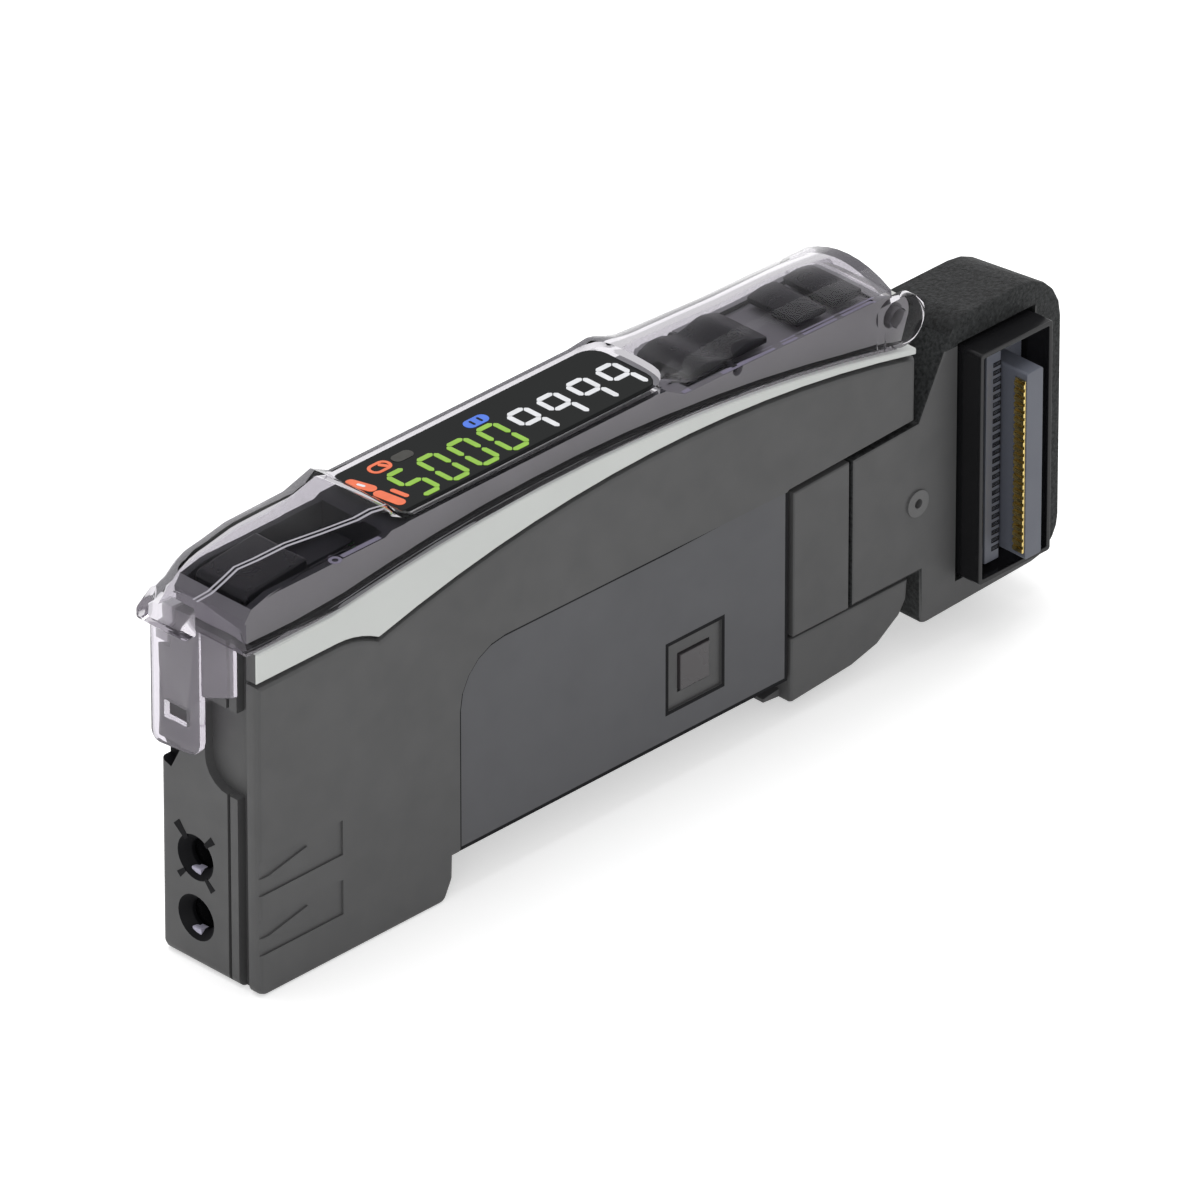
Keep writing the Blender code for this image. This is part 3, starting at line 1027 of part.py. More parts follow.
def build_rear_block(unit):
    """Rear block: sloping shell with the connector window and slider guide."""
    rims = ((-HALF, CORNER * 0.6), (REAR_FAR_Y, CORNER * 0.6))
    block = unit.place("rear_block", loft([rear_ring(-HALF), rear_ring(REAR_FAR_Y)], rims), "case")
    tongue = [(REAR_FRONT, SLIDER_TOP_Z + GAP), (CASE_LENGTH, SLIDER_TOP_Z + GAP),
              (CASE_LENGTH, seam(CASE_LENGTH) - GAP), (REAR_FRONT, seam(REAR_FRONT) - GAP)]
    unit.join(block, prism(tongue, 0.0, HALF, edge_far=CORNER * 0.3))
    unit.join(block, round_bar("Y", (BOSS_X, BOSS_Z), -HALF - BOSS_PROUD, -HALF + 0.0010, BOSS_RADIUS,
                               segments=20))
    unit.cut(block, round_bar("Y", (BOSS_X, BOSS_Z), -HALF - OVER, -HALF + BOSS_PROUD * 2, BOSS_RADIUS * 0.35,
                              segments=12))
    unit.cut(block, box((SHROUD_FRONT - GAP, SHROUD_FRONT + SHROUD_LENGTH + GAP), (-HALF - OVER, HALF),
                        (SHROUD_LOW_Z - GAP, SHROUD_LOW_Z + SHROUD_HEIGHT + GAP)))
    unit.cut(block, box((REAR_FRONT - OVER, SHROUD_FRONT),
                        (BUS_BOARD_Y - RUN, MAIN_BOARD_Y + BOARD + RUN / 2),
                        (TUNNEL_LOW_Z, TUNNEL_LOW_Z + TUNNEL_HEIGHT)))
    slot_end = STEM_X + STEM_LENGTH + SLIDER_TRAVEL + RUN
    head_low = SLIDER_TOP_Z + STEM_RISE - STEM_HEAD_HEIGHT
    head_top = SLIDER_TOP_Z + STEM_RISE
    unit.cut(block, box((STEM_X - RUN, slot_end), (-STEM_HALF - RUN, STEM_HALF + RUN),
                        (0.0, head_low + OVER / 2)))
    unit.cut(block, box((STEM_X - RUN, slot_end), (-STEM_HEAD_HALF - RUN, STEM_HEAD_HALF + RUN),
                        (head_low - RUN, head_top + RUN)))
    unit.cut(block, round_bar("X", (0.0, spring_z()), slot_end - OVER, SPRING_END + GAP,
                              SPRING_RADIUS + SPRING_WIRE + GAP, segments=16))


def spring_z():
    """Height of the slider spring's axis: the middle of the stem's head."""
    return SLIDER_TOP_Z + STEM_RISE - STEM_HEAD_HEIGHT


def build_bus(unit):
    """Connector: shroud, plug with its tongue, contacts, board, header and socket."""
    front = SHROUD_FRONT
    rear = SHROUD_FRONT + SHROUD_LENGTH
    low = SHROUD_LOW_Z
    high = SHROUD_LOW_Z + SHROUD_HEIGHT
    lip = -HALF - SHROUD_PROUD
    board_far = BUS_BOARD_Y + THIN_BOARD
    root = BUS_BOARD_Y - GAP
    shroud = unit.place("bus_shroud", box((front, rear), (lip, root), (low, high), "Y", 0.0003), "black")
    unit.cut(shroud, box((front + SHROUD_WALL, rear - SHROUD_WALL), (lip - OVER, root + OVER),
                         (low + SHROUD_WALL, high - SHROUD_WALL)))
    inset = SHROUD_WALL + GAP
    middle_x = (front + rear) / 2 + TONGUE_SHIFT
    middle_z = (low + high) / 2 - TONGUE_DROP
    plug = unit.place("bus_plug", box((front + inset, rear - inset), (PLUG_BASE_Y, root),
                                      (low + inset, high - inset)), "slate")
    tip = -HALF - TONGUE_PROUD
    half = TONGUE_THICKNESS / 2
    tall = TONGUE_HEIGHT / 2
    unit.join(plug, box((middle_x - half, middle_x + half), (tip, PLUG_BASE_Y + 0.0005),
                        (middle_z - tall, middle_z + tall), "Y", 0.0002))
    ridge_rear = middle_x - half - 2 * CONTACT_PROUD
    unit.join(plug, box((ridge_rear - PLUG_RIDGE, ridge_rear),
                        (PLUG_BASE_Y - 0.0016, PLUG_BASE_Y + 0.0005), (low + 1.2 * inset, high - 1.2 * inset)))
    pitch = (TONGUE_HEIGHT - 0.0012) / CONTACT_COUNT
    bottom = middle_z - tall + 0.0006
    comb = []
    face_x = middle_x - half - CONTACT_PROUD * 0.2
    for index in range(CONTACT_COUNT):
        z = bottom + pitch * index
        comb += [(face_x - CONTACT_PROUD, z), (face_x - CONTACT_PROUD, z + pitch * 0.55),
                 (face_x - CONTACT_PROUD * 0.4, z + pitch * 0.55), (face_x - CONTACT_PROUD * 0.4, z + pitch)]
    comb += [(face_x, bottom + pitch * CONTACT_COUNT), (face_x, bottom)]
    unit.place("bus_contacts", prism(comb, tip + 0.0001, tip + CONTACT_LAND), "gold")
    unit.place("bus_board", prism([
        (front, low), (rear, low), (rear, high), (front, high), (front, TUNNEL_LOW_Z + TUNNEL_HEIGHT - GAP),
        (front - 0.0030, TUNNEL_LOW_Z + TUNNEL_HEIGHT - GAP), (front - 0.0030, TUNNEL_LOW_Z + GAP),
        (front, TUNNEL_LOW_Z + GAP)], BUS_BOARD_Y, board_far), "board")
    unit.place("link_header", box((front - 0.0028, front - 2 * GAP), (board_far + GAP, MAIN_BOARD_Y - GAP),
                                  (TUNNEL_LOW_Z + 3 * GAP, TUNNEL_LOW_Z + TUNNEL_HEIGHT - 3 * GAP)), "slate")
    socket = unit.place("bus_socket", box((front, rear), (board_far + GAP, REAR_FAR_Y), (low, high)), "slate")
    play = 0.0003
    mouth = REAR_FAR_Y - (TONGUE_PROUD - SHROUD_PROUD) - 0.0004
    unit.cut(socket, box((middle_x - half - play, middle_x + half + play), (mouth, REAR_FAR_Y + OVER),
                         (middle_z - tall - play, middle_z + tall + play)))


def build_slider(unit):
    """Rail slider with its hook and stem, and the spring behind the stem."""
    rear = SLIDER_REAR
    outline = rounded([
        (SLIDER_FRONT, SLIDER_TIP_Z, 0.0003), (SLIDER_FRONT + 0.0065, SLIDER_TIP_Z + 0.0005, 0.0),
        (rear - 0.0032, SLIDER_TIP_Z + 0.0012, 0.0), (rear - 0.0009, SLIDER_TOP_Z - 0.0028, 0.0),
        (rear - 0.0002, SLIDER_TOP_Z - 0.0017, 0.0006),
        (rear, SLIDER_TOP_Z, 0.0), (SLIDER_FRONT, SLIDER_TOP_Z, 0.0)])
    slider = unit.place("din_slider", prism(
        outline, -SLIDER_HALF, SLIDER_HALF, edge=GAP, edge_far=GAP), "case")
    tip = SLIDER_FRONT - REAR_LIP
    root = SLIDER_FRONT + 0.0006
    hook = [(tip, SLIDER_TIP_Z + 0.0004), (root, SLIDER_TIP_Z + 0.0002),
            (root, HOOK_Z), (tip, HOOK_Z - 0.0003)]
    unit.join(slider, prism(hook, -CORE_HALF, CORE_HALF))
    head_low = SLIDER_TOP_Z + STEM_RISE - STEM_HEAD_HEIGHT
    unit.join(slider, box((STEM_X, STEM_X + STEM_LENGTH), (-STEM_HALF, STEM_HALF),
                          (SLIDER_TOP_Z - 0.0010, head_low + 0.0002)))
    unit.join(slider, box((STEM_X, STEM_X + STEM_LENGTH), (-STEM_HEAD_HALF, STEM_HEAD_HALF),
                          (head_low, SLIDER_TOP_Z + STEM_RISE)))
    build_spring(unit)


def build_spring(unit):
    """Coil spring along X between the slider's stem and the rear block."""
    start = STEM_X + STEM_LENGTH + GAP + SPRING_WIRE
    end = SPRING_END - SPRING_WIRE
    curve = bpy.data.curves.new("slider_spring", "CURVE")
    curve.dimensions = "3D"
    curve.bevel_depth = SPRING_WIRE
    curve.bevel_resolution = 1
    curve.use_fill_caps = True
    steps = SPRING_TURNS * 12
    line = curve.splines.new("POLY")
    line.points.add(steps)
    for index in range(steps + 1):
        turn = 2 * math.pi * SPRING_TURNS * index / steps
        x = start + (end - start) * index / steps
        y = SPRING_RADIUS * math.cos(turn)
        line.points[index].co = (x, y, spring_z() + SPRING_RADIUS * math.sin(turn), 1.0)
    curve.materials.append(material("steel"))
    spring = bpy.data.objects.new("slider_spring", curve)
    bpy.context.collection.objects.link(spring)
    spring.parent = unit.datum


def main():
    clear_scene()
    unit = Unit()
    build_housing(unit)
    build_side_cover(unit)
    build_side_pieces(unit)
    build_top_deck(unit)
    build_display(unit)
    build_keys(unit)
    build_boards(unit)
    build_cover(unit)
    build_fibre_lock(unit)
    build_optics(unit)
    build_rear_block(unit)
    build_bus(unit)
    build_slider(unit)


main()
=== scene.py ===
"""Looks of a slim rail-mounted fibre optic sensor amplifier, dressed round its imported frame."""

import json
import logging
import math
from dataclasses import dataclass, field
from enum import Enum
from typing import Callable, Iterable, Sequence

import bmesh
import bpy
from mathutils import Matrix, Vector


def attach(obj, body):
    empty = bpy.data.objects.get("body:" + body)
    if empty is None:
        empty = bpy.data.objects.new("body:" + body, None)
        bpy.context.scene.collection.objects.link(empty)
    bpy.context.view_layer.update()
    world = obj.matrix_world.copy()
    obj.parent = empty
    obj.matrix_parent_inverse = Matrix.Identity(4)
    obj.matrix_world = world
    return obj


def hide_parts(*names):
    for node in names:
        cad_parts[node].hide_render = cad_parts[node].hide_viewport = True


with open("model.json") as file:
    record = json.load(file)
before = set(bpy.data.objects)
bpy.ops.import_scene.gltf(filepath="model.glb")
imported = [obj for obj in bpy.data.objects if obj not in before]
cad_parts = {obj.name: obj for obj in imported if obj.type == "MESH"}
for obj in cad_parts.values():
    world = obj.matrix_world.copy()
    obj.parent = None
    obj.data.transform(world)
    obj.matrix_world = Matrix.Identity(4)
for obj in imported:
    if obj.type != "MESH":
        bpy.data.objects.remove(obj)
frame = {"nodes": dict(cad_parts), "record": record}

Colour = tuple[float, float, float]
Point = tuple[float, float, float]
Thing = bpy.types.Object
Material = bpy.types.Material
Node = bpy.types.Node
Socket = bpy.types.NodeSocket
Face = bmesh.types.BMFace

log = logging.getLogger("amplifier")
MILLIMETRE = 0.001
FACE_X = -0.03995
MIDDLE_Y = 0.00175
FACING = 0.9  # part of a normal along an axis, past which its face counts as facing it
RAMP_LOW = 0.3  # noise value that takes the low end of a ramp
RAMP_HIGH = 0.7  # and the high end
SAME_SPOT = 0.000002  # metres between corners that are taken as one
SORTING = Vector((1.0, 0.37, 0.13))  # direction along which corners and faces are sorted


def spot(x: float, y: float, z: float) -> Vector:
    """Turn millimetres from the middle of the fibre face's foot into row-frame metres.

    Args:
        x: Distance behind the fibre face.
        y: Distance from the case's middle plane, toward the far side.
        z: Height over the foot.

    Returns:
        The point in metres.
    """
    return Vector((x * MILLIMETRE + FACE_X, y * MILLIMETRE + MIDDLE_Y, z * MILLIMETRE))


class Turn(Enum):
    """Direction in which a display segment lies."""

    LEVEL = 0
    UPRIGHT = 1


class NodeSheet:
    """Node tree with short calls to add and join nodes."""

    def __init__(self, tree: bpy.types.NodeTree) -> None:
        """Clear a node tree.

        Args:
            tree: The tree of a material or of the world.
        """
        self.tree = tree
        self.tree.nodes.clear()

    def node(self, kind: str, **values: object) -> Node:
        """Add a node.

        Args:
            kind: Blender's name of the node type.
            **values: Its settings, or the values of its inputs with spaces as underscores.

        Returns:
            The node.
        """
        made = self.tree.nodes.new(kind)
        for key, value in values.items():
            title = key.replace("_", " ")
            if title in made.inputs:
                if isinstance(value, Socket):
                    self.tree.links.new(value, made.inputs[title])
                else:
                    made.inputs[title].default_value = value
            else:
                setattr(made, key, value)
        return made

    def math(self, operation: str, first: object, second: object) -> Socket:
        """Add a calculation with two values.

        Args:
            operation: Blender's name of the calculation.
            first: A socket or a number.
            second: A socket or a number.

        Returns:
            The result.
        """
        made = self.node("ShaderNodeMath", operation=operation)
        for socket, value in zip(made.inputs, (first, second)):
            if isinstance(value, Socket):
                self.tree.links.new(value, socket)
            else:
                socket.default_value = value
        return made.outputs[0]

    def either(self, share: Socket, low: Node, high: Node) -> Node:
        """Add a mix of two shaders.

        Args:
            share: Share of the second.
            low: The first.
            high: The second.

        Returns:
            The mix.
        """
        made = self.node("ShaderNodeMixShader", Fac=share)
        for source, index in ((low, 1), (high, 2)):
            self.tree.links.new(source.outputs[0], made.inputs[index])
        return made

    def seen(self) -> Socket:
        """Say whether a ray comes from the camera, a reflection or a clear piece.

        Returns:
            1 for such a ray, 0 for any other.
        """
        path = self.node("ShaderNodeLightPath").outputs
        straight = self.math("MAXIMUM", path["Is Camera Ray"], path["Is Transmission Ray"])
        return self.math("MAXIMUM", straight, path["Is Glossy Ray"])


class Sheet(NodeSheet):
    """Node tree of one material."""

    def __init__(self, name: str) -> None:
        """Start an empty material.

        Args:
            name: Name of the material.
        """
        self.material = bpy.data.materials.new(name)
        self.material.use_nodes = True
        super().__init__(self.material.node_tree)
        self.place = self.node("ShaderNodeTexCoord").outputs["Object"]

    def noise(self, scale: float, detail: float = 2.0,
              stretch: Point = (1.0, 1.0, 1.0)) -> Socket:
        """Add a noise on the piece's own place.

        Args:
            scale: Cells per metre.
            detail: Noise detail.
            stretch: Factor on each axis.

        Returns:
            The noise value.
        """
        place = self.node("ShaderNodeMapping", Vector=self.place, Scale=stretch).outputs["Vector"]
        made = self.node("ShaderNodeTexNoise", Vector=place, Scale=scale, Detail=detail)
        return made.outputs["Fac"]

    def blend(self, share: Socket, low: Colour, high: Colour) -> Socket:
        """Add a ramp between two colours.

        Args:
            share: Value that goes from 0 to 1.
            low: Colour up to RAMP_LOW.
            high: Colour from RAMP_HIGH.

        Returns:
            The colour.
        """
        ramp = self.node("ShaderNodeValToRGB", Fac=share)
        stops = ramp.color_ramp.elements
        for stop, position, colour in zip(stops, (RAMP_LOW, RAMP_HIGH), (low, high)):
            stop.position = position
            stop.color = (*colour, 1.0)
        return ramp.outputs["Color"]

    def span(self, share: Socket, low: float, high: float) -> Socket:
        """Add a map of a value to a range.

        Args:
            share: Value that goes from about RAMP_LOW to RAMP_HIGH.
            low: Result at RAMP_LOW.
            high: Result at RAMP_HIGH.

        Returns:
            The mapped value.
        """
        made = self.node(
            "ShaderNodeMapRange", Value=share, From_Min=RAMP_LOW, From_Max=RAMP_HIGH,
            To_Min=low, To_Max=high)
        return made.outputs["Result"]

    def relief(self, height: Socket, strength: float, depth: float) -> Socket:
        """Add a bump.

        Args:
            height: Value that raises the surface.
            strength: Share of the effect.
            depth: Height of the relief in metres.

        Returns:
            The normal.
        """
        made = self.node("ShaderNodeBump", Height=height, Strength=strength, Distance=depth)
        return made.outputs["Normal"]

    def finish(self, shader: Node) -> Material:
        """Join a shader to the output and return the material."""
        self.node("ShaderNodeOutputMaterial", Surface=shader.outputs[0])
        return self.material


def shade(colour: Colour, factor: float) -> Colour:
    """Make a colour lighter or darker by a factor."""
    return (colour[0] * factor, colour[1] * factor, colour[2] * factor)


@dataclass(frozen=True)
class MouldedPlastic:
    """Moulded plastic with a faint mottle, a fine spark-eroded grain and uneven gloss."""

    name: str
    colour: Colour
    roughness: float = 0.5
    mottle: float = 0.05
    cloud: float = 160.0
    patch: float = 500.0
    grain: float = 7000.0
    depth: float = 0.000012
    strength: float = 0.25
    shine: float = 0.5

    def make(self) -> Material:
        """Build the material."""
        sheet = Sheet(self.name)
        return sheet.finish(self.body(sheet))

    def body(self, sheet: Sheet) -> Node:
        """Add the plastic's shader to a sheet.

        Args:
            sheet: The sheet.

        Returns:
            The shader.
        """
        cloud = sheet.noise(self.cloud, 3.0)
        speck = sheet.noise(self.grain, 4.0)
        dark, pale = shade(self.colour, 1 - self.mottle), shade(self.colour, 1 + self.mottle)
        rough = sheet.span(sheet.noise(self.patch), self.roughness - 0.05, self.roughness + 0.06)
        return sheet.node(
            "ShaderNodeBsdfPrincipled", Base_Color=sheet.blend(cloud, dark, pale), Roughness=rough,
            Specular_IOR_Level=self.shine, Normal=sheet.relief(speck, self.strength, self.depth))


@dataclass(frozen=True)
class CoarsePlastic:
    """Plastic from a coarsely eroded mould: pits that show as dark and light specks."""

    name: str
    colour: Colour
    speck: Colour
    pit: float = 3600.0
    fine_pit: float = 2.7
    fine_share: float = 0.4
    depth: float = 0.00009
    shine: float = 0.2

    def make(self) -> Material:
        """Build the material."""
        sheet = Sheet(self.name)
        return sheet.finish(self.body(sheet))

    def body(self, sheet: Sheet) -> Node:
        """Add the plastic's shader to a sheet.

        Args:
            sheet: The sheet.

        Returns:
            The shader.
        """
        coarse = sheet.noise(self.pit, 5.0)
        fine = sheet.noise(self.pit * self.fine_pit, 2.0)
        both = sheet.math("ADD", coarse, sheet.math("MULTIPLY", fine, self.fine_share))
        return sheet.node(
            "ShaderNodeBsdfPrincipled", Base_Color=sheet.blend(coarse, self.colour, self.speck),
            Roughness=sheet.span(fine, 0.55, 0.75), Specular_IOR_Level=self.shine,
            Normal=sheet.relief(both, 0.9, self.depth))


@dataclass(frozen=True)
class BandedPlastic:
    """Smooth plastic with a rough band past a height and past a length."""

    name: str
    inner: MouldedPlastic
    outer: CoarsePlastic
    past_x: float
    past_z: float

    def make(self) -> Material:
        """Build the material.

        Returns:
            The material.
        """
        sheet = Sheet(self.name)
        axes = sheet.node("ShaderNodeSeparateXYZ", Vector=sheet.place).outputs
        limit = spot(self.past_x, 0.0, self.past_z)
        past = [sheet.math("GREATER_THAN", axes[axis], limit[axis]) for axis in (0, 2)]
        band = sheet.math("MAXIMUM", *past)
        return sheet.finish(sheet.either(band, self.inner.body(sheet), self.outer.body(sheet)))


@dataclass(frozen=True)
class ClearPlastic:
    """Clear smoked plastic that lets lamp light reach what is behind it.

    It refracts what is seen through it, and passes shadow, diffuse and mirrored rays straight on.
    """

    name: str
    colour: Colour
    passed: Colour
    bend: float
    milk: float = 0.0
    wave_depth: float = 0.00001

    def make(self) -> Material:
        """Build the material.

        Returns:
            The material.
        """
        sheet = Sheet(self.name)
        wave = sheet.relief(sheet.noise(120.0, 1.0), 0.1, self.wave_depth)
        tint = sheet.blend(sheet.noise(90.0), shade(self.colour, 0.97), self.colour)
        glass = sheet.node(
            "ShaderNodeBsdfPrincipled", Base_Color=tint, Roughness=0.0, IOR=self.bend, Normal=wave,
            Transmission_Weight=1.0 - self.milk)
        window = sheet.node("ShaderNodeBsdfTransparent", Color=(*self.passed, 1.0))
        path = sheet.node("ShaderNodeLightPath").outputs
        bounced = sheet.math("MAXIMUM", path["Is Shadow Ray"], path["Is Diffuse Ray"])
        mirrored = sheet.math("SUBTRACT", path["Is Glossy Ray"], path["Is Transmission Ray"])
        return sheet.finish(sheet.either(sheet.math("MAXIMUM", bounced, mirrored), glass, window))


@dataclass(frozen=True)
class PlatedMetal:
    """Plated sheet metal with fine drawn lines."""

    name: str
    colour: Colour
    roughness: float = 0.28
    depth: float = 0.00001
    lines: Point = (1.0, 1.0, 12.0)

    def make(self) -> Material:
        """Build the material.

        Returns:
            The material.
        """
        sheet = Sheet(self.name)
        drawn = sheet.noise(2500.0, 3.0, self.lines)
        colour = sheet.blend(drawn, shade(self.colour, 0.85), self.colour)
        return sheet.finish(sheet.node(
            "ShaderNodeBsdfPrincipled", Base_Color=colour,
            Roughness=sheet.span(drawn, self.roughness - 0.05, self.roughness + 0.08), Metallic=1.0,
            Normal=sheet.relief(drawn, 0.15, self.depth)))


@dataclass(frozen=True)
class SolderMask:
    """Circuit board: green lacquer with the faint grid of tracks and weave below it."""

    name: str
    colour: Colour
    weave: float = 900.0
    depth: float = 0.00002

    def make(self) -> Material:
        """Build the material.

        Returns:
            The material.
        """
        sheet = Sheet(self.name)
        weave = sheet.node(
            "ShaderNodeTexBrick", Vector=sheet.place, Scale=self.weave, Mortar_Size=0.03,
            Color1=(*self.colour, 1.0), Color2=(*shade(self.colour, 0.85), 1.0),
            Mortar=(*shade(self.colour, 1.6), 1.0)).outputs
        return sheet.finish(sheet.node(
            "ShaderNodeBsdfPrincipled", Base_Color=weave["Color"],
            Roughness=sheet.span(sheet.noise(self.weave), 0.3, 0.4),
            Normal=sheet.relief(weave["Fac"], 0.2, self.depth)))


@dataclass(frozen=True)
class GlowInk:
    """Lit mark of the display: its colour glows, with a faint cloud of dimmer spots."""

    name: str
    colour: Colour
    strength: float

    def make(self) -> Material:
        """Build the material.

        Returns:
            The material.
        """
        sheet = Sheet(self.name)
        colour = sheet.blend(sheet.noise(1400.0), shade(self.colour, 0.86), self.colour)
        return sheet.finish(sheet.node(
            "ShaderNodeBsdfPrincipled", Base_Color=(*shade(self.colour, 0.06), 1.0), Roughness=0.4,
            Emission_Color=colour, Emission_Strength=self.strength))


@dataclass(frozen=True)
class PrintedInk:
    """Pad-printed ink with a slightly uneven cover."""

    name: str
    colour: Colour
    roughness: float = 0.5

    def make(self) -> Material:
        """Build the material.

        Returns:
            The material.
        """
        sheet = Sheet(self.name)
        cloud = sheet.noise(2200.0, 3.0)
        colour = sheet.blend(cloud, shade(self.colour, 0.9), self.colour)
        return sheet.finish(sheet.node(
            "ShaderNodeBsdfPrincipled", Base_Color=colour,
            Roughness=sheet.span(cloud, self.roughness - 0.05, self.roughness + 0.05)))


@dataclass
class Palette:
    """Every finish of the amplifier, each built once."""

    finishes: dict[str, Material] = field(default_factory=dict)

    def fill(self) -> "Palette":
        """Build all the finishes.

        Returns:
            The palette.
        """
        rough = CoarsePlastic("rear_texture", (0.008, 0.009, 0.009), (0.04, 0.042, 0.043))
        smooth = MouldedPlastic("rear_smooth", (0.078, 0.078, 0.079), 0.5, shine=0.3)
        passed = (0.77, 0.76, 0.78)
        finishes = {
            "case": MouldedPlastic("case_plastic", (0.078, 0.078, 0.079), 0.5, shine=0.3),
            "label": MouldedPlastic(
                "label_field", (0.079, 0.08, 0.087), 0.42, strength=0.12, shine=0.3),
            "strip": MouldedPlastic(
                "strip_plastic", (0.62, 0.64, 0.62), 0.4, mottle=0.02, strength=0.1),
            "deck": MouldedPlastic(
                "deck_plastic", (0.55, 0.555, 0.54), strength=0.05, shine=0.2),
            "deck_top": MouldedPlastic(
                "deck_top_plastic", (0.03, 0.03, 0.036), strength=0.05, shine=0.2),
            "deck_mid": MouldedPlastic(
                "deck_rear_plastic", (0.3, 0.3, 0.31), strength=0.05, shine=0.2),
            "key": MouldedPlastic(
                "key_plastic", (0.008, 0.008, 0.011), 0.3, strength=0.0, shine=0.4),
            "black": MouldedPlastic(
                "gloss_black", (0.01, 0.01, 0.011), 0.2, strength=0.05, shine=0.25),
            "window": MouldedPlastic(
                "display_black", (0.009, 0.01, 0.01), 0.12, strength=0.03, shine=0.06),
            "slate": MouldedPlastic("slate_plastic", (0.115, 0.123, 0.15), 0.4, shine=0.35),
            "gold": PlatedMetal("contact_gold", (0.72, 0.55, 0.2)),
            "steel": PlatedMetal("tinned_steel", (0.62, 0.62, 0.64)),
            "board": SolderMask("board_green", (0.02, 0.16, 0.07)),
            "lens": MouldedPlastic("infrared_lens", (0.05, 0.045, 0.048), 0.3, strength=0.05),
            "clear": ClearPlastic("cover_clear", (0.62, 0.605, 0.635), passed, 1.12),
            # painted shade: a darker copy of the cover's clear plastic, for the dark edge lines and
            # dulled glints of its rail and tab walls
            "clear_painted_dark": ClearPlastic("cover_clear_painted_dark", (0.4, 0.385, 0.42), passed, 1.12),
            "clear_front": ClearPlastic(
                "cover_clear_front", (0.69, 0.66, 0.72), (0.8, 0.77, 0.81), 1.22, 0.11),
            # painted highlight: opaque pale plastic on the cover's front ridge strips
            "painted_ridge_highlight": MouldedPlastic("cover_painted_ridge_highlight", (0.36, 0.345, 0.39), 0.25, strength=0.05),
            "rough": rough,
            # painted shade: a darker copy of the rear texture, for the block's upward faces
            "rough_top_painted_dark": CoarsePlastic(
                "rear_texture_top_painted_dark", (0.003, 0.003, 0.003), (0.027, 0.028, 0.029), 2800.0),
            "banded": BandedPlastic("rear_face", smooth, rough, 79.7, 24.75),
            "green": GlowInk("digit_green", (0.27, 0.53, 0.035), 0.95),
            "white": GlowInk("digit_white", (0.82, 0.83, 0.86), 0.9),
            "orange": GlowInk("mark_orange", (0.86, 0.16, 0.055), 0.95),
            "blue": GlowInk("mark_blue", (0.05, 0.17, 0.76), 0.95),
            "dim": PrintedInk("mark_dim", (0.02, 0.019, 0.015)),
            # pale print on the deck, also used for the painted highlight low in the fibre holes
            "pale": PrintedInk("pale_print_and_highlight", (0.5, 0.48, 0.6)),
            "boss": MouldedPlastic("boss_ring", (0.1, 0.1, 0.101), 0.45, shine=0.4),
            # painted shade: near-black finish put in holes, slots, notches and along the label's
            # edge, where shade falls
            "dark": MouldedPlastic("painted_shade_black", (0.006, 0.006, 0.007), 0.6, shine=0.08)}
        for key, finish in finishes.items():
            self.finishes[key] = finish.make()
        return self

    def __getitem__(self, key: str) -> Material:
        """Material kept under a key."""
        return self.finishes[key]


def unselect() -> None:
    """Leave edit mode and deselect every object."""
    if bpy.context.object is not None and bpy.context.object.mode != "OBJECT":
        bpy.ops.object.mode_set(mode="OBJECT")
    bpy.ops.object.select_all(action="DESELECT")


def hold(piece: Thing) -> Thing:
    """Make one object the only selected and active one.

    Args:
        piece: The object.

    Returns:
        The same object.
    """
    unselect()
    piece.select_set(True)
    bpy.context.view_layer.objects.active = piece
    return piece


def label(piece: Thing, name: str) -> Thing:
    """Name an object and its mesh.

    Args:
        piece: The object.
        name: Its name.

    Returns:
        The same object.
    """
    piece.name = name
    piece.data.name = name
    return piece


def settle(piece: Thing) -> Thing:
    """Put the place, turn and size of the selected object into its mesh, and return it."""
    bpy.ops.object.transform_apply(location=True, rotation=True, scale=True)
    return piece


def block(name: str, low: Vector, high: Vector) -> Thing:
    """Add a cube primitive at its size and place.

    Args:
        name: Name of the piece.
        low: Lowest corner.
        high: Highest corner.

    Returns:
        The object, with its place in its mesh.
    """
    unselect()
    bpy.ops.mesh.primitive_cube_add(
        size=1.0, calc_uvs=False, location=(low + high) / 2, scale=high - low)
    return settle(label(bpy.context.object, name))


def rod(name: str, centre: Vector, radius: float, depth: float, steps: int = 24) -> Thing:
    """Add an upright cylinder primitive at its size and place.

    Args:
        name: Name of the piece.
        centre: Its middle.
        radius: Its radius.
        depth: Its height.
        steps: Sides.

    Returns:
        The object, with its place in its mesh.
    """
    unselect()
    bpy.ops.mesh.primitive_cylinder_add(
        vertices=steps, radius=radius, depth=depth, calc_uvs=False, location=centre)
    return settle(label(bpy.context.object, name))


def pick_none(piece: Thing, kind: str) -> bmesh.types.BMesh:
    """Go into edit mode with nothing selected.

    Args:
        piece: The object to edit.
        kind: What is selected next, FACE or EDGE.

    Returns:
        The mesh to select in.
    """
    hold(piece)
    bpy.ops.object.mode_set(mode="EDIT")
    bpy.ops.mesh.select_mode(type=kind)
    bpy.ops.mesh.select_all(action="DESELECT")
    return bmesh.from_edit_mesh(piece.data)


def pick_faces(piece: Thing, test: Callable[[Face], bool]) -> int:
    """Go into edit mode and select the faces that pass a test.

    Args:
        piece: The object to edit.
        test: Says whether a face is wanted.

    Returns:
        How many faces are selected.
    """
    mesh = pick_none(piece, "FACE")
    count = 0
    for face in mesh.faces:
        if test(face):
            face.select_set(True)
            count += 1
    bmesh.update_edit_mesh(piece.data)
    return count


def leave(piece: Thing) -> Thing:
    """Leave edit mode and return the object."""
    bpy.ops.object.mode_set(mode="OBJECT")
    return piece


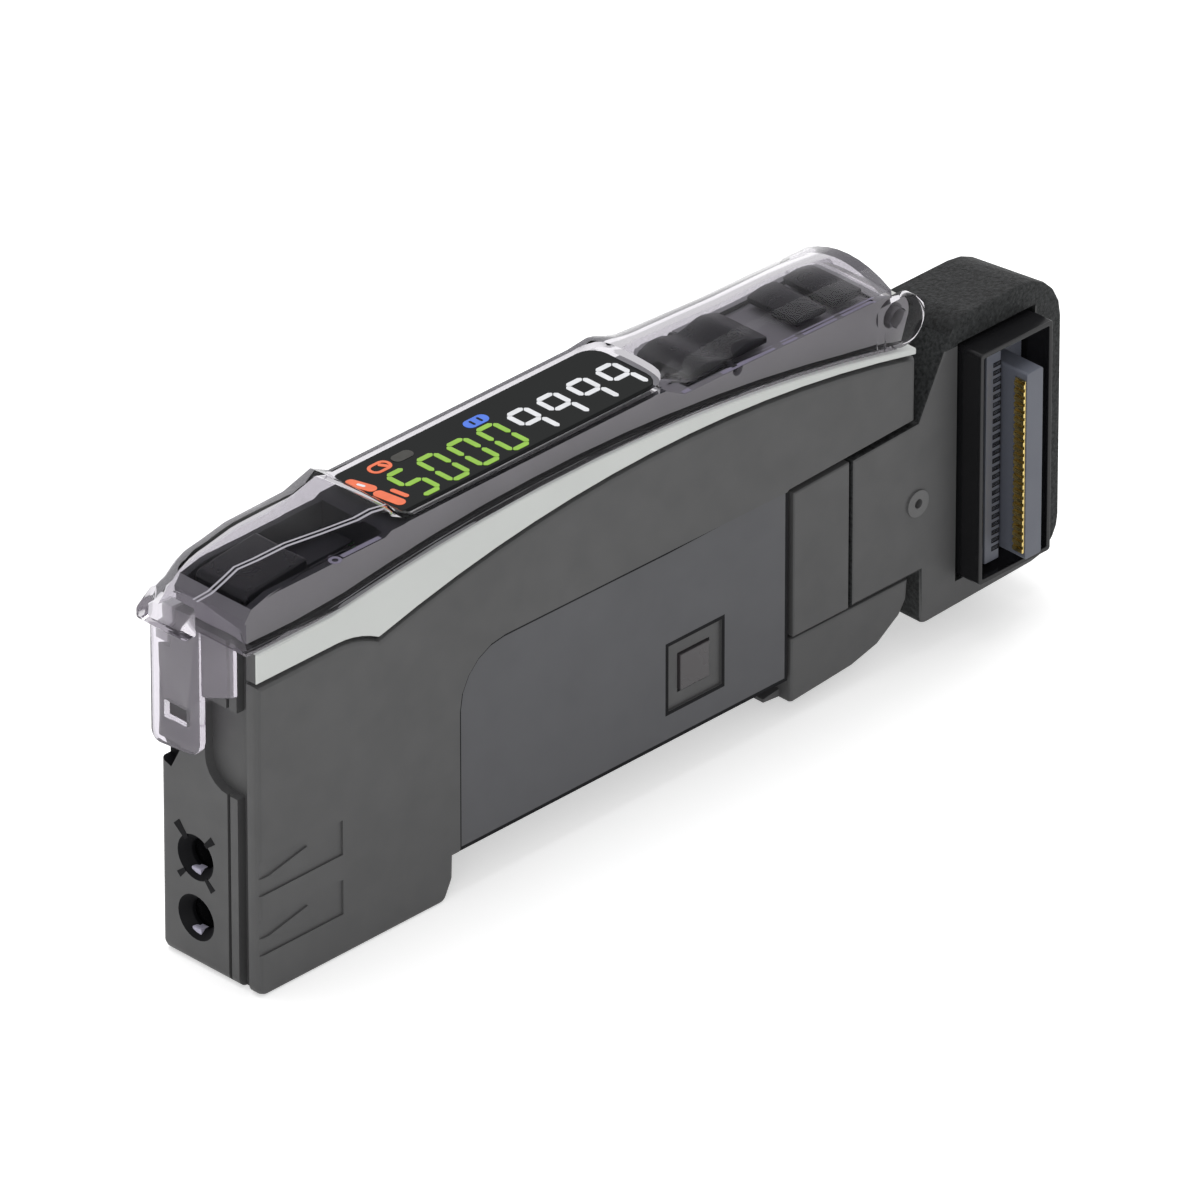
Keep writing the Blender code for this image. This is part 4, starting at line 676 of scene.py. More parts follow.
def in_order(piece: Thing) -> Thing:
    """Sort an object's corners and faces by place, as an extrusion leaves them in any order.

    Args:
        piece: The object.

    Returns:
        The same object.
    """
    mesh = bmesh.new()
    mesh.from_mesh(piece.data)
    mesh.verts.sort(key=lambda corner: corner.co.dot(SORTING))
    mesh.faces.sort(key=lambda face: face.calc_center_median().dot(SORTING))
    mesh.to_mesh(piece.data)
    mesh.free()
    return piece


def apply(piece: Thing, kind: str, **settings: object) -> Thing:
    """Add a modifier and apply it.

    Args:
        piece: The object.
        kind: Blender's name of the modifier type.
        **settings: Its settings.

    Returns:
        The same object.
    """
    hold(piece)
    modifier = piece.modifiers.new(kind.title(), kind)
    for key, value in settings.items():
        setattr(modifier, key, value)
    bpy.ops.object.modifier_apply(modifier=modifier.name)
    return piece


def smooth(piece: Thing, degrees: float) -> Thing:
    """Shade an object smooth.

    Args:
        piece: The object.
        degrees: Angle past which an edge stays sharp.

    Returns:
        The same object.
    """
    hold(piece)
    bpy.ops.object.shade_smooth_by_angle(angle=math.radians(degrees))
    return piece


def twin(piece: Thing, name: str) -> Thing:
    """Copy an object with its own mesh.

    Args:
        piece: The object.
        name: Name of the copy.

    Returns:
        The copy.
    """
    copy = piece.copy()
    copy.data = piece.data.copy()
    label(copy, name)
    bpy.context.collection.objects.link(copy)
    return copy


def fuse(name: str, pieces: Sequence[Thing]) -> Thing:
    """Join objects into one.

    Args:
        name: Name of the joined object.
        pieces: The objects.

    Returns:
        The joined object.
    """
    unselect()
    for piece in pieces:
        piece.select_set(True)
    bpy.context.view_layer.objects.active = pieces[0]
    if len(pieces) > 1:
        bpy.ops.object.join()
    return label(bpy.context.object, name)


def carry(piece: Thing, matrix: Matrix) -> Thing:
    """Move or turn an object and put the move into its mesh.

    Args:
        piece: The object.
        matrix: The move.

    Returns:
        The same object.
    """
    piece.matrix_world = matrix @ piece.matrix_world
    return settle(hold(piece))


def assign(piece: Thing, material: Material) -> None:
    """Assign a material to the selected faces of a piece in edit mode.

    Args:
        piece: The piece.
        material: The material.
    """
    if material.name not in piece.data.materials:
        piece.data.materials.append(material)
    piece.active_material_index = piece.data.materials.find(material.name)
    bpy.ops.object.material_slot_assign()


def coat(piece: Thing, material: Material, body: str) -> None:
    """Give a finished piece its material and its body.

    Args:
        piece: The finished piece.
        material: Its material.
        body: The body that it rides on.
    """
    piece.data.materials.clear()
    piece.data.materials.append(material)
    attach(piece, body)
    log.info("piece %s rides on %s", piece.name, body)


@dataclass(frozen=True)
class FacePatch:
    """Faces of a dressed node that have a finish of their own, inside a box in millimetres."""

    finish: str
    low: Point
    high: Point
    facing: Point
    cosine: float = FACING
    rim: float = 0.0

    def holds(self, face: Face) -> bool:
        """Say whether a face is one of the patch.

        Args:
            face: The face.

        Returns:
            True if it points the right way and has its middle in the box.
        """
        middle = face.calc_center_median()
        low, high = spot(*self.low), spot(*self.high)
        inside = all(low[axis] <= middle[axis] <= high[axis] for axis in range(3))
        return inside and face.normal.dot(Vector(self.facing)) > self.cosine


@dataclass(frozen=True)
class Ridge:
    """Ridge of a piece's outer skin, eased into three narrow strips; the outer two are painted
    bright as a highlight.
    """

    points: tuple[Point, ...]
    finish: str = "painted_ridge_highlight"
    width: float = 0.00026
    reach: float = 0.00003
    shortest: float = 0.0004
    strip: tuple[float, float] = (0.00008, 0.0003)
    lowest: float = 31.2
    upward: float = 0.4

    def across(self, x: float) -> float:
        """Find the ridge's place across the case.

        Args:
            x: Place along the case, in metres.

        Returns:
            The place across it, in metres.
        """
        points = [spot(*point) for point in self.points]
        for first, second in zip(points, points[1:]):
            if first.x <= x <= second.x:
                return first.y + (second.y - first.y) * (x - first.x) / (second.x - first.x)
        return math.inf

    def holds(self, face: Face) -> bool:
        """Say whether a face is one of the two outer strips.

        Args:
            face: The face.

        Returns:
            True if it is.
        """
        middle = face.calc_center_median()
        near, far = self.strip
        beside = near < abs(middle.y - self.across(middle.x)) < far
        return beside and middle.z > spot(0, 0, self.lowest).z and face.normal.z > self.upward

    def make(self, piece: Thing, palette: Palette) -> None:
        """Ease the ridge and give its outer strips the painted highlight.

        Args:
            piece: The piece.
            palette: The finishes.
        """
        points = [spot(*point) for point in self.points]
        mesh = pick_none(piece, "EDGE")
        for edge in mesh.edges:
            away = max(min((vert.co - point).length for point in points) for vert in edge.verts)
            if away < self.reach and edge.calc_length() > self.shortest:
                edge.select_set(True)
        bmesh.update_edit_mesh(piece.data)
        bpy.ops.mesh.bevel(offset=self.width, segments=3)
        leave(piece)
        count = pick_faces(piece, self.holds)
        log.info("ridge of %s takes %d faces", piece.name, count)
        assign(piece, palette[self.finish])
        leave(piece)


@dataclass
class DressedNode:
    """One CAD node with its edges eased and its surface smoothed, in its real finish."""

    node: str
    finish: str
    slot: str
    bevel: float = 0.00008
    steps: int = 2
    angle: float = 32.0
    flatten: float = 0.6
    patches: tuple[FacePatch, ...] = ()
    weighted: bool = True
    ridge: Ridge | None = None
    squeeze: float = 1.0
    squeeze_z: float = 31.1

    def body(self) -> str:
        """Find the body that holds the node.

        Returns:
            Its name.
        """
        for name, nodes in frame["record"]["behaviour"]["bodies"].items():
            if self.node in nodes:
                return name
        raise KeyError(self.node)

    def make(self, palette: Palette) -> None:
        """Copy the node, merge its loose triangles, ease its edges and dress it.

        Args:
            palette: The finishes.
        """
        piece = twin(frame["nodes"][self.node], "dressed_" + self.node)
        piece.parent = None
        piece.matrix_world = Matrix.Identity(4)
        hold(piece)
        bpy.ops.object.mode_set(mode="EDIT")
        bpy.ops.mesh.select_all(action="SELECT")
        bpy.ops.mesh.remove_doubles(threshold=SAME_SPOT)
        bpy.ops.mesh.dissolve_limited(angle_limit=math.radians(self.flatten))
        bpy.ops.object.mode_set(mode="OBJECT")
        piece.data.materials.clear()
        piece.data.materials.append(palette[self.finish])
        for patch in self.patches:
            self.dress_patch(piece, patch, palette)
        if self.squeeze < 1.0:
            middle = Matrix.Translation(spot(0.0, 0.0, self.squeeze_z))
            flatter = Matrix.Diagonal((1.0, 1.0, self.squeeze, 1.0))
            carry(piece, middle @ flatter @ middle.inverted())
        if self.ridge:
            self.ridge.make(piece, palette)
        if self.bevel > 0:
            apply(
                piece, "BEVEL", width=self.bevel, segments=self.steps, limit_method="ANGLE",
                angle_limit=math.radians(self.angle), use_clamp_overlap=True,
                miter_outer="MITER_ARC")
        smooth(piece, self.angle)
        if self.weighted:
            apply(piece, "WEIGHTED_NORMAL", keep_sharp=True)
        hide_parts(self.node)
        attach(piece, self.body())
        log.info("dressed %s on %s with %d patches", self.node, self.body(), len(self.patches))

    def dress_patch(self, piece: Thing, patch: FacePatch, palette: Palette) -> None:
        """Give some faces their own finish, with a rim of painted shade round them if the patch has
        one.

        Args:
            piece: The piece.
            patch: The faces and their finish.
            palette: The finishes.
        """
        count = pick_faces(piece, patch.holds)
        log.info("patch %s of %s takes %d faces", patch.finish, self.node, count)
        if patch.rim > 0:
            # painted shade: the rim round the picked faces gets the near-black finish
            assign(piece, palette["dark"])
            bpy.ops.mesh.inset(thickness=patch.rim * MILLIMETRE, depth=0.0, use_boundary=True)
        assign(piece, palette[patch.finish])
        leave(piece)


@dataclass
class Dressing:
    """All visible nodes of the amplifier as dressed pieces, and finishes for the inner ones."""

    shown: tuple[DressedNode, ...] = (
        DressedNode("housing", "case", "case", 0.00006, patches=(
            # painted shade: the fibre bores and the scoop above them take the near-black finish,
            # for the shade deep in them
            FacePatch("dark", (0.05, -0.7, 1.9), (9.0, 3.7, 11.4), (0, 0, 1), -1.1),
            FacePatch("dark", (0.05, 2.2, 13.0), (1.2, 5.2, 19.0), (0, 0, 1), -1.1))),
        DressedNode("side_cover", "case", "case", 0.00005, patches=(
            # painted shade: a 0.3 mm near-black rim round the label field, for the shade along its
            # edge
            FacePatch("label", (20.0, -4.9, 3.0), (53.0, -4.7, 21.0), (0, -1, 0), rim=0.3),)),
        DressedNode("side_stripe_near", "strip", "strip", 0.00005, patches=(
            # painted shade: the stripe's front end takes the darker case finish, for the shade on
            # that face
            FacePatch("case", (-0.2, -5.2, 25.0), (0.4, -3.0, 31.0), (-1, 0, 0)),)),
        DressedNode("side_stripe_far", "strip", "strip", 0.00005),
        DressedNode("guide_plate_near", "case", "case", 0.00006),
        DressedNode("guide_plate_far", "case", "case", 0.00006),
        DressedNode("comms_window_near", "lens", "lens", 0.00008),
        DressedNode("comms_window_far", "lens", "lens", 0.00008),
        DressedNode("protective_cover", "clear", "clear", 0.00007, 2, 28.0, 0.1, (
            # painted shade: the far rail and the front tab's walls take the darker clear copy
            FacePatch("clear_painted_dark", (15.6, 3.2, 27.0), (44.0, 5.2, 35.0), (0, 0, 1), 0.35),
            FacePatch("clear_front", (-3.0, -5.2, 15.0), (-0.1, 5.2, 28.9), (0, 0, 1), -1.1),
            FacePatch("clear_painted_dark", (-3.0, -5.2, 15.0), (-0.1, 5.2, 28.3), (0, -1, 0), 0.5),
            FacePatch("clear_painted_dark", (-3.0, -5.2, 15.0), (-0.1, 5.2, 28.3), (0, 1, 0), 0.5),
            FacePatch("clear_painted_dark", (-3.0, -5.2, 15.0), (-0.1, 5.2, 28.3), (0, 0, 1), 0.5)), False,
            Ridge((
                (-1.0, 0.2, 31.5), (0.0, -0.3, 31.99), (1.0, -0.8, 32.91), (2.0, -0.9, 33.4),
                (3.5, -1.29, 33.62), (6.0, -1.88, 34.1), (9.0, -2.5, 34.15), (11.8, -2.97, 34.2),
                (13.1, -3.26, 34.5), (14.5, -3.56, 34.44)))),
        DressedNode("lock_knob", "key", "key", 0.00008),
        DressedNode("top_deck", "deck", "deck", 0.00006, patches=(
            FacePatch("deck_top", (-1.0, -3.55, 26.0), (66.0, 3.55, 34.0), (0, 0, 1), 0.2),
            FacePatch("deck_top", (-1.0, -3.4, 26.0), (66.0, 3.4, 34.0), (0, 0, 1), -1.1),
            FacePatch("deck_mid", (-1.0, -5.2, 20.0), (2.2, 5.2, 34.0), (-1, 0, 0), 0.3),
            FacePatch("deck_mid", (43.0, -3.7, 26.0), (66.0, 3.7, 34.0), (0, 0, 1), 0.2))),
        DressedNode("display_window", "window", "black", 0.00008),
        DressedNode("rocker_key", "key", "key", 0.00015, 3, squeeze=0.9),
        DressedNode("front_key", "key", "key", 0.00006),
        DressedNode("rear_key", "key", "key", 0.00006),
        DressedNode("rear_block", "rough", "case", 0.00008, patches=(
            FacePatch("banded", (58.0, -5.05, 0.0), (83.0, -4.9, 29.0), (0, -1, 0)),
            # painted shade: the rear block's upward faces take the darker copy of its texture
            FacePatch("rough_top_painted_dark", (58.0, -5.2, 18.0), (83.0, 5.2, 29.0), (0, 0, 1), 0.5),
            FacePatch("case", (65.7, -5.3, 11.5), (68.9, -3.0, 14.7), (0, -1, 0), -1.1),
            FacePatch("boss", (65.7, -5.3, 11.5), (68.9, -5.1, 14.7), (0, -1, 0)),
            FacePatch("case", (58.0, 2.6, 0.0), (83.0, 2.9, 29.0), (0, 1, 0)),
            FacePatch("case", (58.0, 4.5, 0.0), (70.0, 5.1, 29.0), (0, 1, 0)))),
        DressedNode("bus_shroud", "black", "black", 0.00008),
        DressedNode("bus_plug", "slate", "slate", 0.00006),
        DressedNode("din_slider", "case", "case", 0.00008))

    def make(self, palette: Palette) -> None:
        """Dress every visible node, and give the inner nodes their finish.

        Args:
            palette: The finishes.
        """
        for item in self.shown:
            item.make(palette)
        dressed = {item.node for item in self.shown}
        for row in frame["record"]["subparts"]:
            if row["node"] not in dressed:
                materials = frame["nodes"][row["node"]].data.materials
                for index in range(len(materials)):
                    materials[index] = palette[row["material_slot"]]


@dataclass(frozen=True)
class Pill:
    """Small rounded mark of the display, turned by degrees about Z and filled if hollow is 0."""

    name: str
    x: float
    y: float
    size: tuple[float, float]
    finish: str
    turn: float = 0.0
    hollow: float = 0.0
    lift: float = 0.0


@dataclass
class DigitDisplay:
    """Two rows of four lit digits and the small lit marks on the black window."""

    top: float = 33.3
    height: float = 4.2
    width: float = 2.15
    stroke: float = 0.46
    tip: float = 0.42
    blunt: float = 0.25
    gap: float = 0.2
    thickness: float = 0.03
    middle_y: float = -1.15
    first_x: float = 19.4
    pitch: float = 3.0
    group_gap: float = 0.1
    corner: float = 0.48
    shapes: dict[str, str] = field(
        default_factory=lambda: {"5": "afgcd", "0": "abcdef", "9": "abcfg"})
    marks: tuple[Pill, ...] = (
        Pill("mark_output_1", 16.4, 1.12, (0.9, 2.5), "orange", 16.0),
        Pill("mark_output_2", 16.64, -1.54, (0.9, 2.7), "orange", 8.0),
        Pill("mark_output_bar", 17.62, -1.57, (0.42, 1.6), "orange", 8.0),
        Pill("mark_frame", 19.16, 2.03, (2.0, 1.3), "orange", 0.0, 0.26),
        Pill("mark_frame_bar", 19.5, 2.03, (0.35, 0.8), "orange", 30.0),
        Pill("mark_dim", 21.4, 2.0, (1.9, 1.0), "dim"),
        Pill("mark_status", 28.59, 1.76, (2.2, 1.1), "blue"),
        Pill("mark_status_slit_1", 28.2, 1.76, (0.22, 0.66), "window", lift=0.012),
        Pill("mark_status_slit_2", 28.95, 1.76, (0.22, 0.66), "window", lift=0.012),
        Pill("mark_output_slit_1", 16.4, 1.12, (0.26, 0.7), "white", 16.0, lift=0.012))

    def segment(self, name: str, length: float) -> Thing:
        """Shape one display segment from a cube: a bar whose ends are drawn out to blunt tips.

        Args:
            name: Name of the segment.
            length: Its length from tip to tip, in millimetres.

        Returns:
            The segment, lying along X at the origin.
        """
        tip = self.stroke * self.tip
        half = (length / 2 - tip) * MILLIMETRE
        wide = self.stroke / 2 * MILLIMETRE
        top = self.thickness * MILLIMETRE
        bar = block(name, Vector((-half, -wide, 0.0)), Vector((half, wide, top)))
        for side in (-1, 1):
            pick_faces(bar, lambda face: face.normal.x * side > FACING)
            bpy.ops.mesh.extrude_region_move(
                TRANSFORM_OT_translate={"value": (side * tip * MILLIMETRE, 0.0, 0.0)})
            bpy.ops.transform.resize(value=(1.0, self.blunt, 1.0))
            leave(bar)
        return in_order(bar)

    def places(self) -> dict[str, tuple[float, float, Turn]]:
        """Place the seven segments.

        Returns:
            Middle and direction of each, in millimetres.
        """
        side = self.width / 2 - self.stroke / 2
        end = self.height / 2 - self.stroke / 2
        mid = end / 2
        return {
            "a": (0.0, end, Turn.LEVEL), "g": (0.0, 0.0, Turn.LEVEL), "d": (0.0, -end, Turn.LEVEL),
            "f": (-side, mid, Turn.UPRIGHT), "b": (side, mid, Turn.UPRIGHT),
            "e": (-side, -mid, Turn.UPRIGHT), "c": (side, -mid, Turn.UPRIGHT)}

    def digit(self, name: str, lit: Iterable[str]) -> Thing:
        """Build a digit from copies of its segments.

        Args:
            name: Name of the digit.
            lit: Letters of the lit segments.

        Returns:
            The digit at the origin.
        """
        level = self.segment("level_segment", self.width - self.stroke - self.gap)
        upright = self.segment("upright_segment", self.height / 2 - self.stroke / 2 - self.gap)
        made = []
        for letter in lit:
            x, y, turn = self.places()[letter]
            source = level if turn is Turn.LEVEL else upright
            piece = twin(source, f"{name}_{letter}")
            matrix = Matrix.Translation(Vector((x, y, 0.0)) * MILLIMETRE)
            if turn is Turn.UPRIGHT:
                matrix = matrix @ Matrix.Rotation(math.pi / 2, 4, "Z")
            made.append(carry(piece, matrix))
        for source in (level, upright):
            bpy.data.objects.remove(source)
        return fuse(name, made)

    def row(self, name: str, text: str, first: float, material: Material) -> None:
        """Place one group of four digits on the window.

        Args:
            name: Name of the group.
            text: Its digits.
            first: X of the first digit, in millimetres.
            material: Its glow.
        """
        digits = []
        for index, letter in enumerate(text):
            digit = self.digit(f"{name}_{index + 1}", self.shapes[letter])
            place = spot(first + self.pitch * index, self.middle_y, self.top)
            digits.append(carry(digit, Matrix.Translation(place)))
        coat(fuse(name, digits), material, "case")

    def pill(self, mark: Pill, palette: Palette) -> None:
        """Place a small rounded mark on the window.

        Args:
            mark: The mark.
            palette: The finishes.
        """
        reach = Vector((*mark.size, 0.0)) / 2 * MILLIMETRE
        rise = Vector((0.0, 0.0, (self.thickness + mark.lift) * MILLIMETRE))
        piece = block(mark.name, -reach, reach + rise)
        self.round_corners(piece, min(mark.size) * self.corner * MILLIMETRE)
        if mark.hollow > 0:
            self.open_middle(piece, mark.hollow)
        turn = Matrix.Rotation(math.radians(mark.turn), 4, "Z")
        carry(piece, Matrix.Translation(spot(mark.x, mark.y, self.top)) @ turn)
        coat(piece, palette[mark.finish], "case")

    def round_corners(self, mark: Thing, radius: float) -> None:
        """Bevel the upright edges of a flat block.

        Args:
            mark: The block.
            radius: Radius of its corners, in metres.
        """
        mesh = pick_none(mark, "EDGE")
        for edge in mesh.edges:
            run = edge.verts[0].co - edge.verts[1].co
            edge.select_set(abs(run.z) > FACING * run.length)
        bmesh.update_edit_mesh(mark.data)
        bpy.ops.mesh.bevel(offset=radius, segments=6)
        leave(mark)

    def open_middle(self, mark: Thing, rim: float) -> None:
        """Leave only a rim of a flat mark.

        Args:
            mark: The mark.
            rim: Width of the rim, in millimetres.
        """
        pick_faces(mark, lambda face: abs(face.normal.z) > FACING)
        bpy.ops.mesh.inset(thickness=rim * MILLIMETRE)
        bpy.ops.mesh.bridge_edge_loops()
        leave(mark)

    def make(self, palette: Palette) -> None:
        """Place the digits and the marks.

        Args:
            palette: The finishes.
        """
        self.row("digits_green", "5000", self.first_x, palette["green"])
        second_x = self.first_x + 4 * self.pitch + self.group_gap
        self.row("digits_white", "9999", second_x, palette["white"])
        for mark in self.marks:
            self.pill(mark, palette)


@dataclass
class FaceMarks:
    """Four small dark wedges round the upper fibre hole."""

    middle_y: float = 1.5
    middle_z: float = 9.1
    reach: tuple[float, float] = (2.0, 2.5)
    size: float = 1.25
    slimness: float = 0.55
    taper: float = 0.6
    proud: float = 0.03
    sunk: float = 0.05
    turns: tuple[tuple[float, float], ...] = ((45, 1.15), (135, 0.9), (225, 0.85), (315, 0.75))

    def make(self, palette: Palette) -> None:
        """Shape each wedge from a cube, set it round the hole and dress them all.

        Args:
            palette: The finishes.
        """
        marks = []
        for index, (turn, scale) in enumerate(self.turns):
            half = self.size / 2 * MILLIMETRE * scale
            wedge = block(
                f"wedge_{index}", Vector((-self.proud * MILLIMETRE, -half, -half * self.slimness)),
                Vector((self.sunk * MILLIMETRE, half, half * self.slimness)))
            pick_faces(wedge, lambda face: face.normal.y > FACING)
            bpy.ops.transform.resize(value=(1.0, 1.0, self.taper))
            leave(wedge)
            angle = math.radians(turn)
            y = self.middle_y + self.reach[0] * math.cos(angle)
            z = self.middle_z + self.reach[1] * math.sin(angle)
            place = Matrix.Translation(spot(0.0, y, z))
            marks.append(carry(wedge, place @ Matrix.Rotation(angle + math.pi, 4, "X")))
        # painted shade: the wedges take the near-black finish, for the shade in the notches round
        # the hole
        coat(fuse("fibre_wedges", marks), palette["dark"], "case")


@dataclass
class FibreHighlights:
    """Pale pads low in both fibre holes, a painted highlight on the lower side of each hole."""

    middles_z: tuple[float, float] = (4.05, 9.1)
    depth: tuple[float, float] = (0.35, 1.1)
    across: tuple[float, float] = (1.35, 2.25)
    drop: float = 1.42
    thickness: float = 0.24
    slope: float = 0.12
    crown: float = 0.05

    def make(self, palette: Palette) -> None:
        """Shape one pad from a cube, copy it to both holes and dress the copies.

        Args:
            palette: The finishes.
        """
        low = spot(self.depth[0], self.across[0], -self.drop - self.thickness)
        high = spot(self.depth[1], self.across[1], -self.drop + self.thickness)
        pad = block("fibre_highlight_pattern", low, high)
        pick_faces(pad, lambda face: face.normal.z > FACING)
        bpy.ops.mesh.inset(thickness=self.slope * MILLIMETRE)
        bpy.ops.transform.translate(value=(0.0, 0.0, self.crown * MILLIMETRE))
        leave(pad)
        pads = []
        for index, middle_z in enumerate(self.middles_z):
            copy = twin(pad, f"fibre_highlight_{index + 1}")
            pads.append(carry(copy, Matrix.Translation((0.0, 0.0, middle_z * MILLIMETRE))))
        bpy.data.objects.remove(pad)
        # painted highlight: the pads take the pale finish
        coat(fuse("fibre_highlights", pads), palette["pale"], "case")


@dataclass
class KeyLabels:
    """Bare pale bars beside the keys and a ring with a bar by the lock, where prints sit."""

    bars: tuple[tuple[float, float], ...] = (
        (11.9, 3.8), (44.75, 0.7), (51.1, 5.4), (55.4, 1.5), (58.5, 3.4), (62.5, 3.4))
    middle_y: float = -3.31
    width: float = 0.38
    proud: float = 0.03
    sunk: float = 0.02
    chamfer: float = 0.05
    level_top: float = 32.0
    slope_start: tuple[float, float] = (48.4, 31.218)
    slope: float = 0.0202
    slope_from: float = 44.0
    ring: Point = (9.3, -3.36, 32.01)
    ring_radius: float = 0.5
    ring_height: float = 0.04

    def bar(self, name: str, x: float, length: float) -> Thing:
        """Set one bar on the deck's top, which is level in front and slopes down past the display.

        Args:
            name: Name of the bar.
            x: Its middle along the case, in millimetres.
            length: Its length.

        Returns:
            The bar in its place.
        """
        top, turn = self.level_top, 0.0
        if x > self.slope_from:
            start_x, start_z = self.slope_start
            top, turn = start_z - self.slope * (x - start_x), math.atan(self.slope)
        reach = Vector((length / 2, self.width / 2, 0.0)) * MILLIMETRE
        bar = block(name, -reach - Vector((0.0, 0.0, self.sunk * MILLIMETRE)),
                    reach + Vector((0.0, 0.0, self.proud * MILLIMETRE)))
        pick_faces(bar, lambda face: face.normal.z > FACING)
        bpy.ops.mesh.inset(thickness=self.chamfer * MILLIMETRE)
        leave(bar)
        place = Matrix.Translation(spot(x, self.middle_y, top))
        return carry(bar, place @ Matrix.Rotation(turn, 4, "Y"))

    def make(self, palette: Palette) -> None:
        """Place the bars and the ring on the deck's near edge.

        Args:
            palette: The finishes.
        """
        made = [self.bar(f"bar_{index}", x, length) for index, (x, length) in enumerate(self.bars)]
        radius = self.ring_radius * MILLIMETRE
        disc = rod("ring", spot(*self.ring), radius, self.ring_height * MILLIMETRE)
        pick_faces(disc, lambda face: abs(face.normal.z) > FACING)
        bpy.ops.mesh.inset(thickness=radius / 2)
        bpy.ops.mesh.bridge_edge_loops()
        made.append(leave(disc))
        coat(fuse("key_labels", made), palette["pale"], "case")


@dataclass
class BusPins:
    """Row of dark slots with fine pins on the ridge beside the connector's tongue."""

    count: int = 24
    low_z: float = 6.7
    high_z: float = 23.0
    front_x: float = 73.95
    rear_x: float = 74.75
    face_y: float = -6.2
    share: float = 0.55
    proud: float = 0.03
    sunk: float = 0.1
    rim: float = 0.06

    def make(self, palette: Palette) -> None:
        """Shape one slot from a cube and copy it up the ridge.

        Args:
            palette: The finishes.
        """
        pitch = (self.high_z - self.low_z) / self.count
        low = spot(self.front_x, self.face_y - self.proud, self.low_z)
        high = spot(self.rear_x, self.face_y + self.sunk, self.low_z + pitch * self.share)
        slot = block("bus_slot_1", low, high)
        pick_faces(slot, lambda face: face.normal.y < -FACING)
        bpy.ops.mesh.inset(thickness=self.rim * MILLIMETRE)
        bpy.ops.transform.translate(value=(0.0, self.proud * MILLIMETRE, 0.0))
        leave(slot)
        slots = [slot]
        for index in range(1, self.count):
            copy = twin(slot, f"bus_slot_{index + 1}")
            slots.append(carry(copy, Matrix.Translation((0.0, 0.0, pitch * index * MILLIMETRE))))
        # painted shade: the slots take the near-black finish, for the shade inside them
        coat(fuse("bus_slots", slots), palette["dark"], "case")


@dataclass
class ViewPoint:
    """Camera at the photograph's angle."""

    azimuth: float = -45.02
    elevation: float = 30.895
    place: Point = (-0.88105758, -0.87816636, 0.75938075)
    lens: float = 600.0

    def make(self) -> None:
        """Create the camera and make it the scene's own."""
        around, over = math.radians(self.azimuth), math.radians(self.elevation)
        level = math.cos(over)
        back = Vector((math.sin(around) * level, -math.cos(around) * level, math.sin(over)))
        right = Vector((math.cos(around), math.sin(around), 0.0))
        upward = back.cross(right)
        data = bpy.data.cameras.new("view")
        data.lens = self.lens
        data.sensor_width = 36.0
        data.clip_start = 0.1
        data.clip_end = 20.0
        camera = bpy.data.objects.new("view", data)
        turned = Matrix((right, upward, back)).transposed().to_4x4()
        camera.matrix_world = Matrix.Translation(Vector(self.place)) @ turned
        bpy.context.collection.objects.link(camera)
        bpy.context.scene.camera = camera


@dataclass
class Softbox:
    """Square area lamp that looks at the object."""

    name: str
    place: Point
    size: float
    power: float
    mirrored: bool = True
    colour: Colour = (1.0, 1.0, 1.0)

    def make(self) -> None:
        """Create the lamp."""
        data = bpy.data.lights.new(self.name, "AREA")
        data.shape = "SQUARE"
        data.size = self.size
        data.energy = self.power
        data.color = self.colour
        lamp = bpy.data.objects.new(self.name, data)
        lamp.visible_glossy = self.mirrored
        lamp.visible_transmission = False
        lamp.location = self.place
        lamp.rotation_mode = "QUATERNION"
        aim = Vector((0.0, 0.0, 0.017)) - Vector(self.place)
        lamp.rotation_quaternion = aim.to_track_quat("-Z", "Y")
        bpy.context.collection.objects.link(lamp)


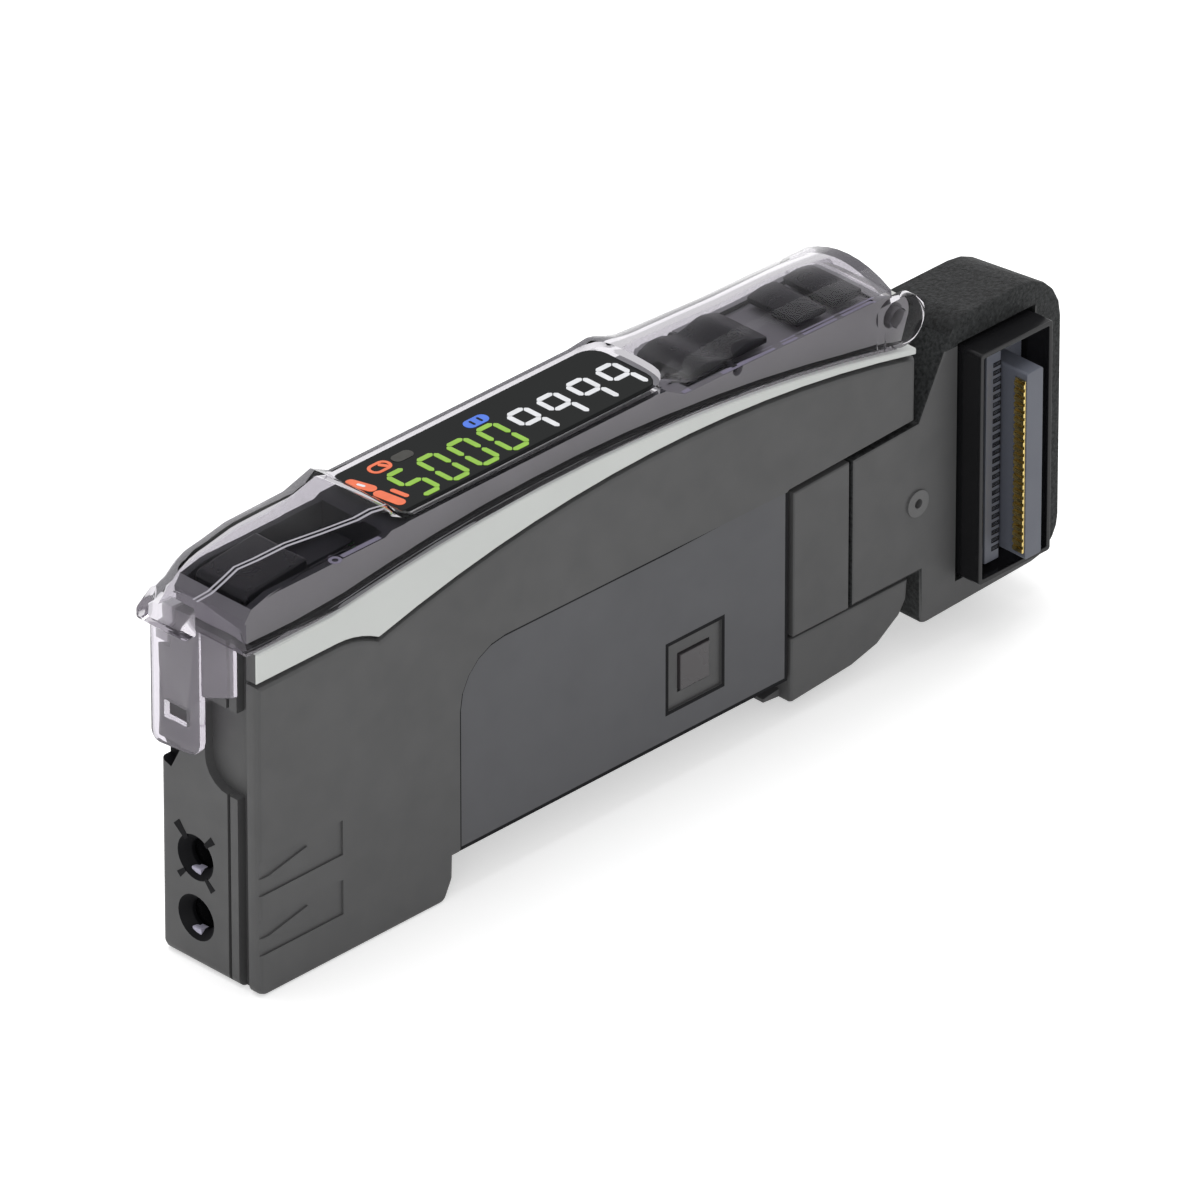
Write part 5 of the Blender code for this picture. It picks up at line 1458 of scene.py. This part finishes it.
@dataclass
class Studio:
    """Pale floor, white surround and soft lamps."""

    floor_size: float = 3.0
    floor_colour: Colour = (0.93, 0.93, 0.93)
    floor_lift: float = 0.45
    ambient: float = 0.5
    lamps: tuple[Softbox, ...] = (
        Softbox("top_box", (0.05, 0.25, 0.7), 0.7, 3.2, False),
        Softbox("front_box", (-0.55, -0.5, 0.35), 0.5, 1.4),
        Softbox("rear_box", (0.6, 0.1, 0.45), 0.3, 0.8))

    def floor(self) -> None:
        """Make the floor: white to the camera, with the object's shadow."""
        unselect()
        bpy.ops.mesh.primitive_plane_add(size=self.floor_size, location=(0.0, 0.0, 0.0))
        plane = bpy.context.object
        plane.name = "floor"
        sheet = Sheet("floor_white")
        white = sheet.node("ShaderNodeBsdfDiffuse", Color=(*self.floor_colour, 1.0))
        nothing = sheet.node("ShaderNodeEmission", Strength=0.0)
        lift = sheet.node("ShaderNodeEmission", Strength=self.floor_lift)
        total = sheet.node("ShaderNodeAddShader")
        for index, source in enumerate((white, sheet.either(sheet.seen(), nothing, lift))):
            sheet.tree.links.new(source.outputs[0], total.inputs[index])
        plane.data.materials.append(sheet.finish(total))

    def surround(self) -> None:
        """Make the world: white where it is seen, softer as light."""
        world = bpy.data.worlds.new("surround")
        world.use_nodes = True
        sheet = NodeSheet(world.node_tree)
        light, white = (
            sheet.node("ShaderNodeBackground", Color=(1.0, 1.0, 1.0, 1.0), Strength=strength)
            for strength in (self.ambient, 1.0))
        mix = sheet.either(sheet.seen(), light, white)
        sheet.node("ShaderNodeOutputWorld", Surface=mix.outputs[0])
        bpy.context.scene.world = world

    def make(self) -> None:
        """Build the whole studio."""
        self.floor()
        self.surround()
        for lamp in self.lamps:
            lamp.make()
        bpy.context.scene.view_settings.view_transform = "Standard"


def main() -> None:
    """Build the camera, the studio and every piece."""
    logging.basicConfig(level=logging.INFO, format="%(message)s")
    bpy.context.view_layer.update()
    ViewPoint().make()
    Studio().make()
    palette = Palette().fill()
    Dressing().make(palette)
    DigitDisplay().make(palette)
    FaceMarks().make(palette)
    FibreHighlights().make(palette)
    BusPins().make(palette)
    KeyLabels().make(palette)
    unselect()


if __name__ == "__main__":
    main()
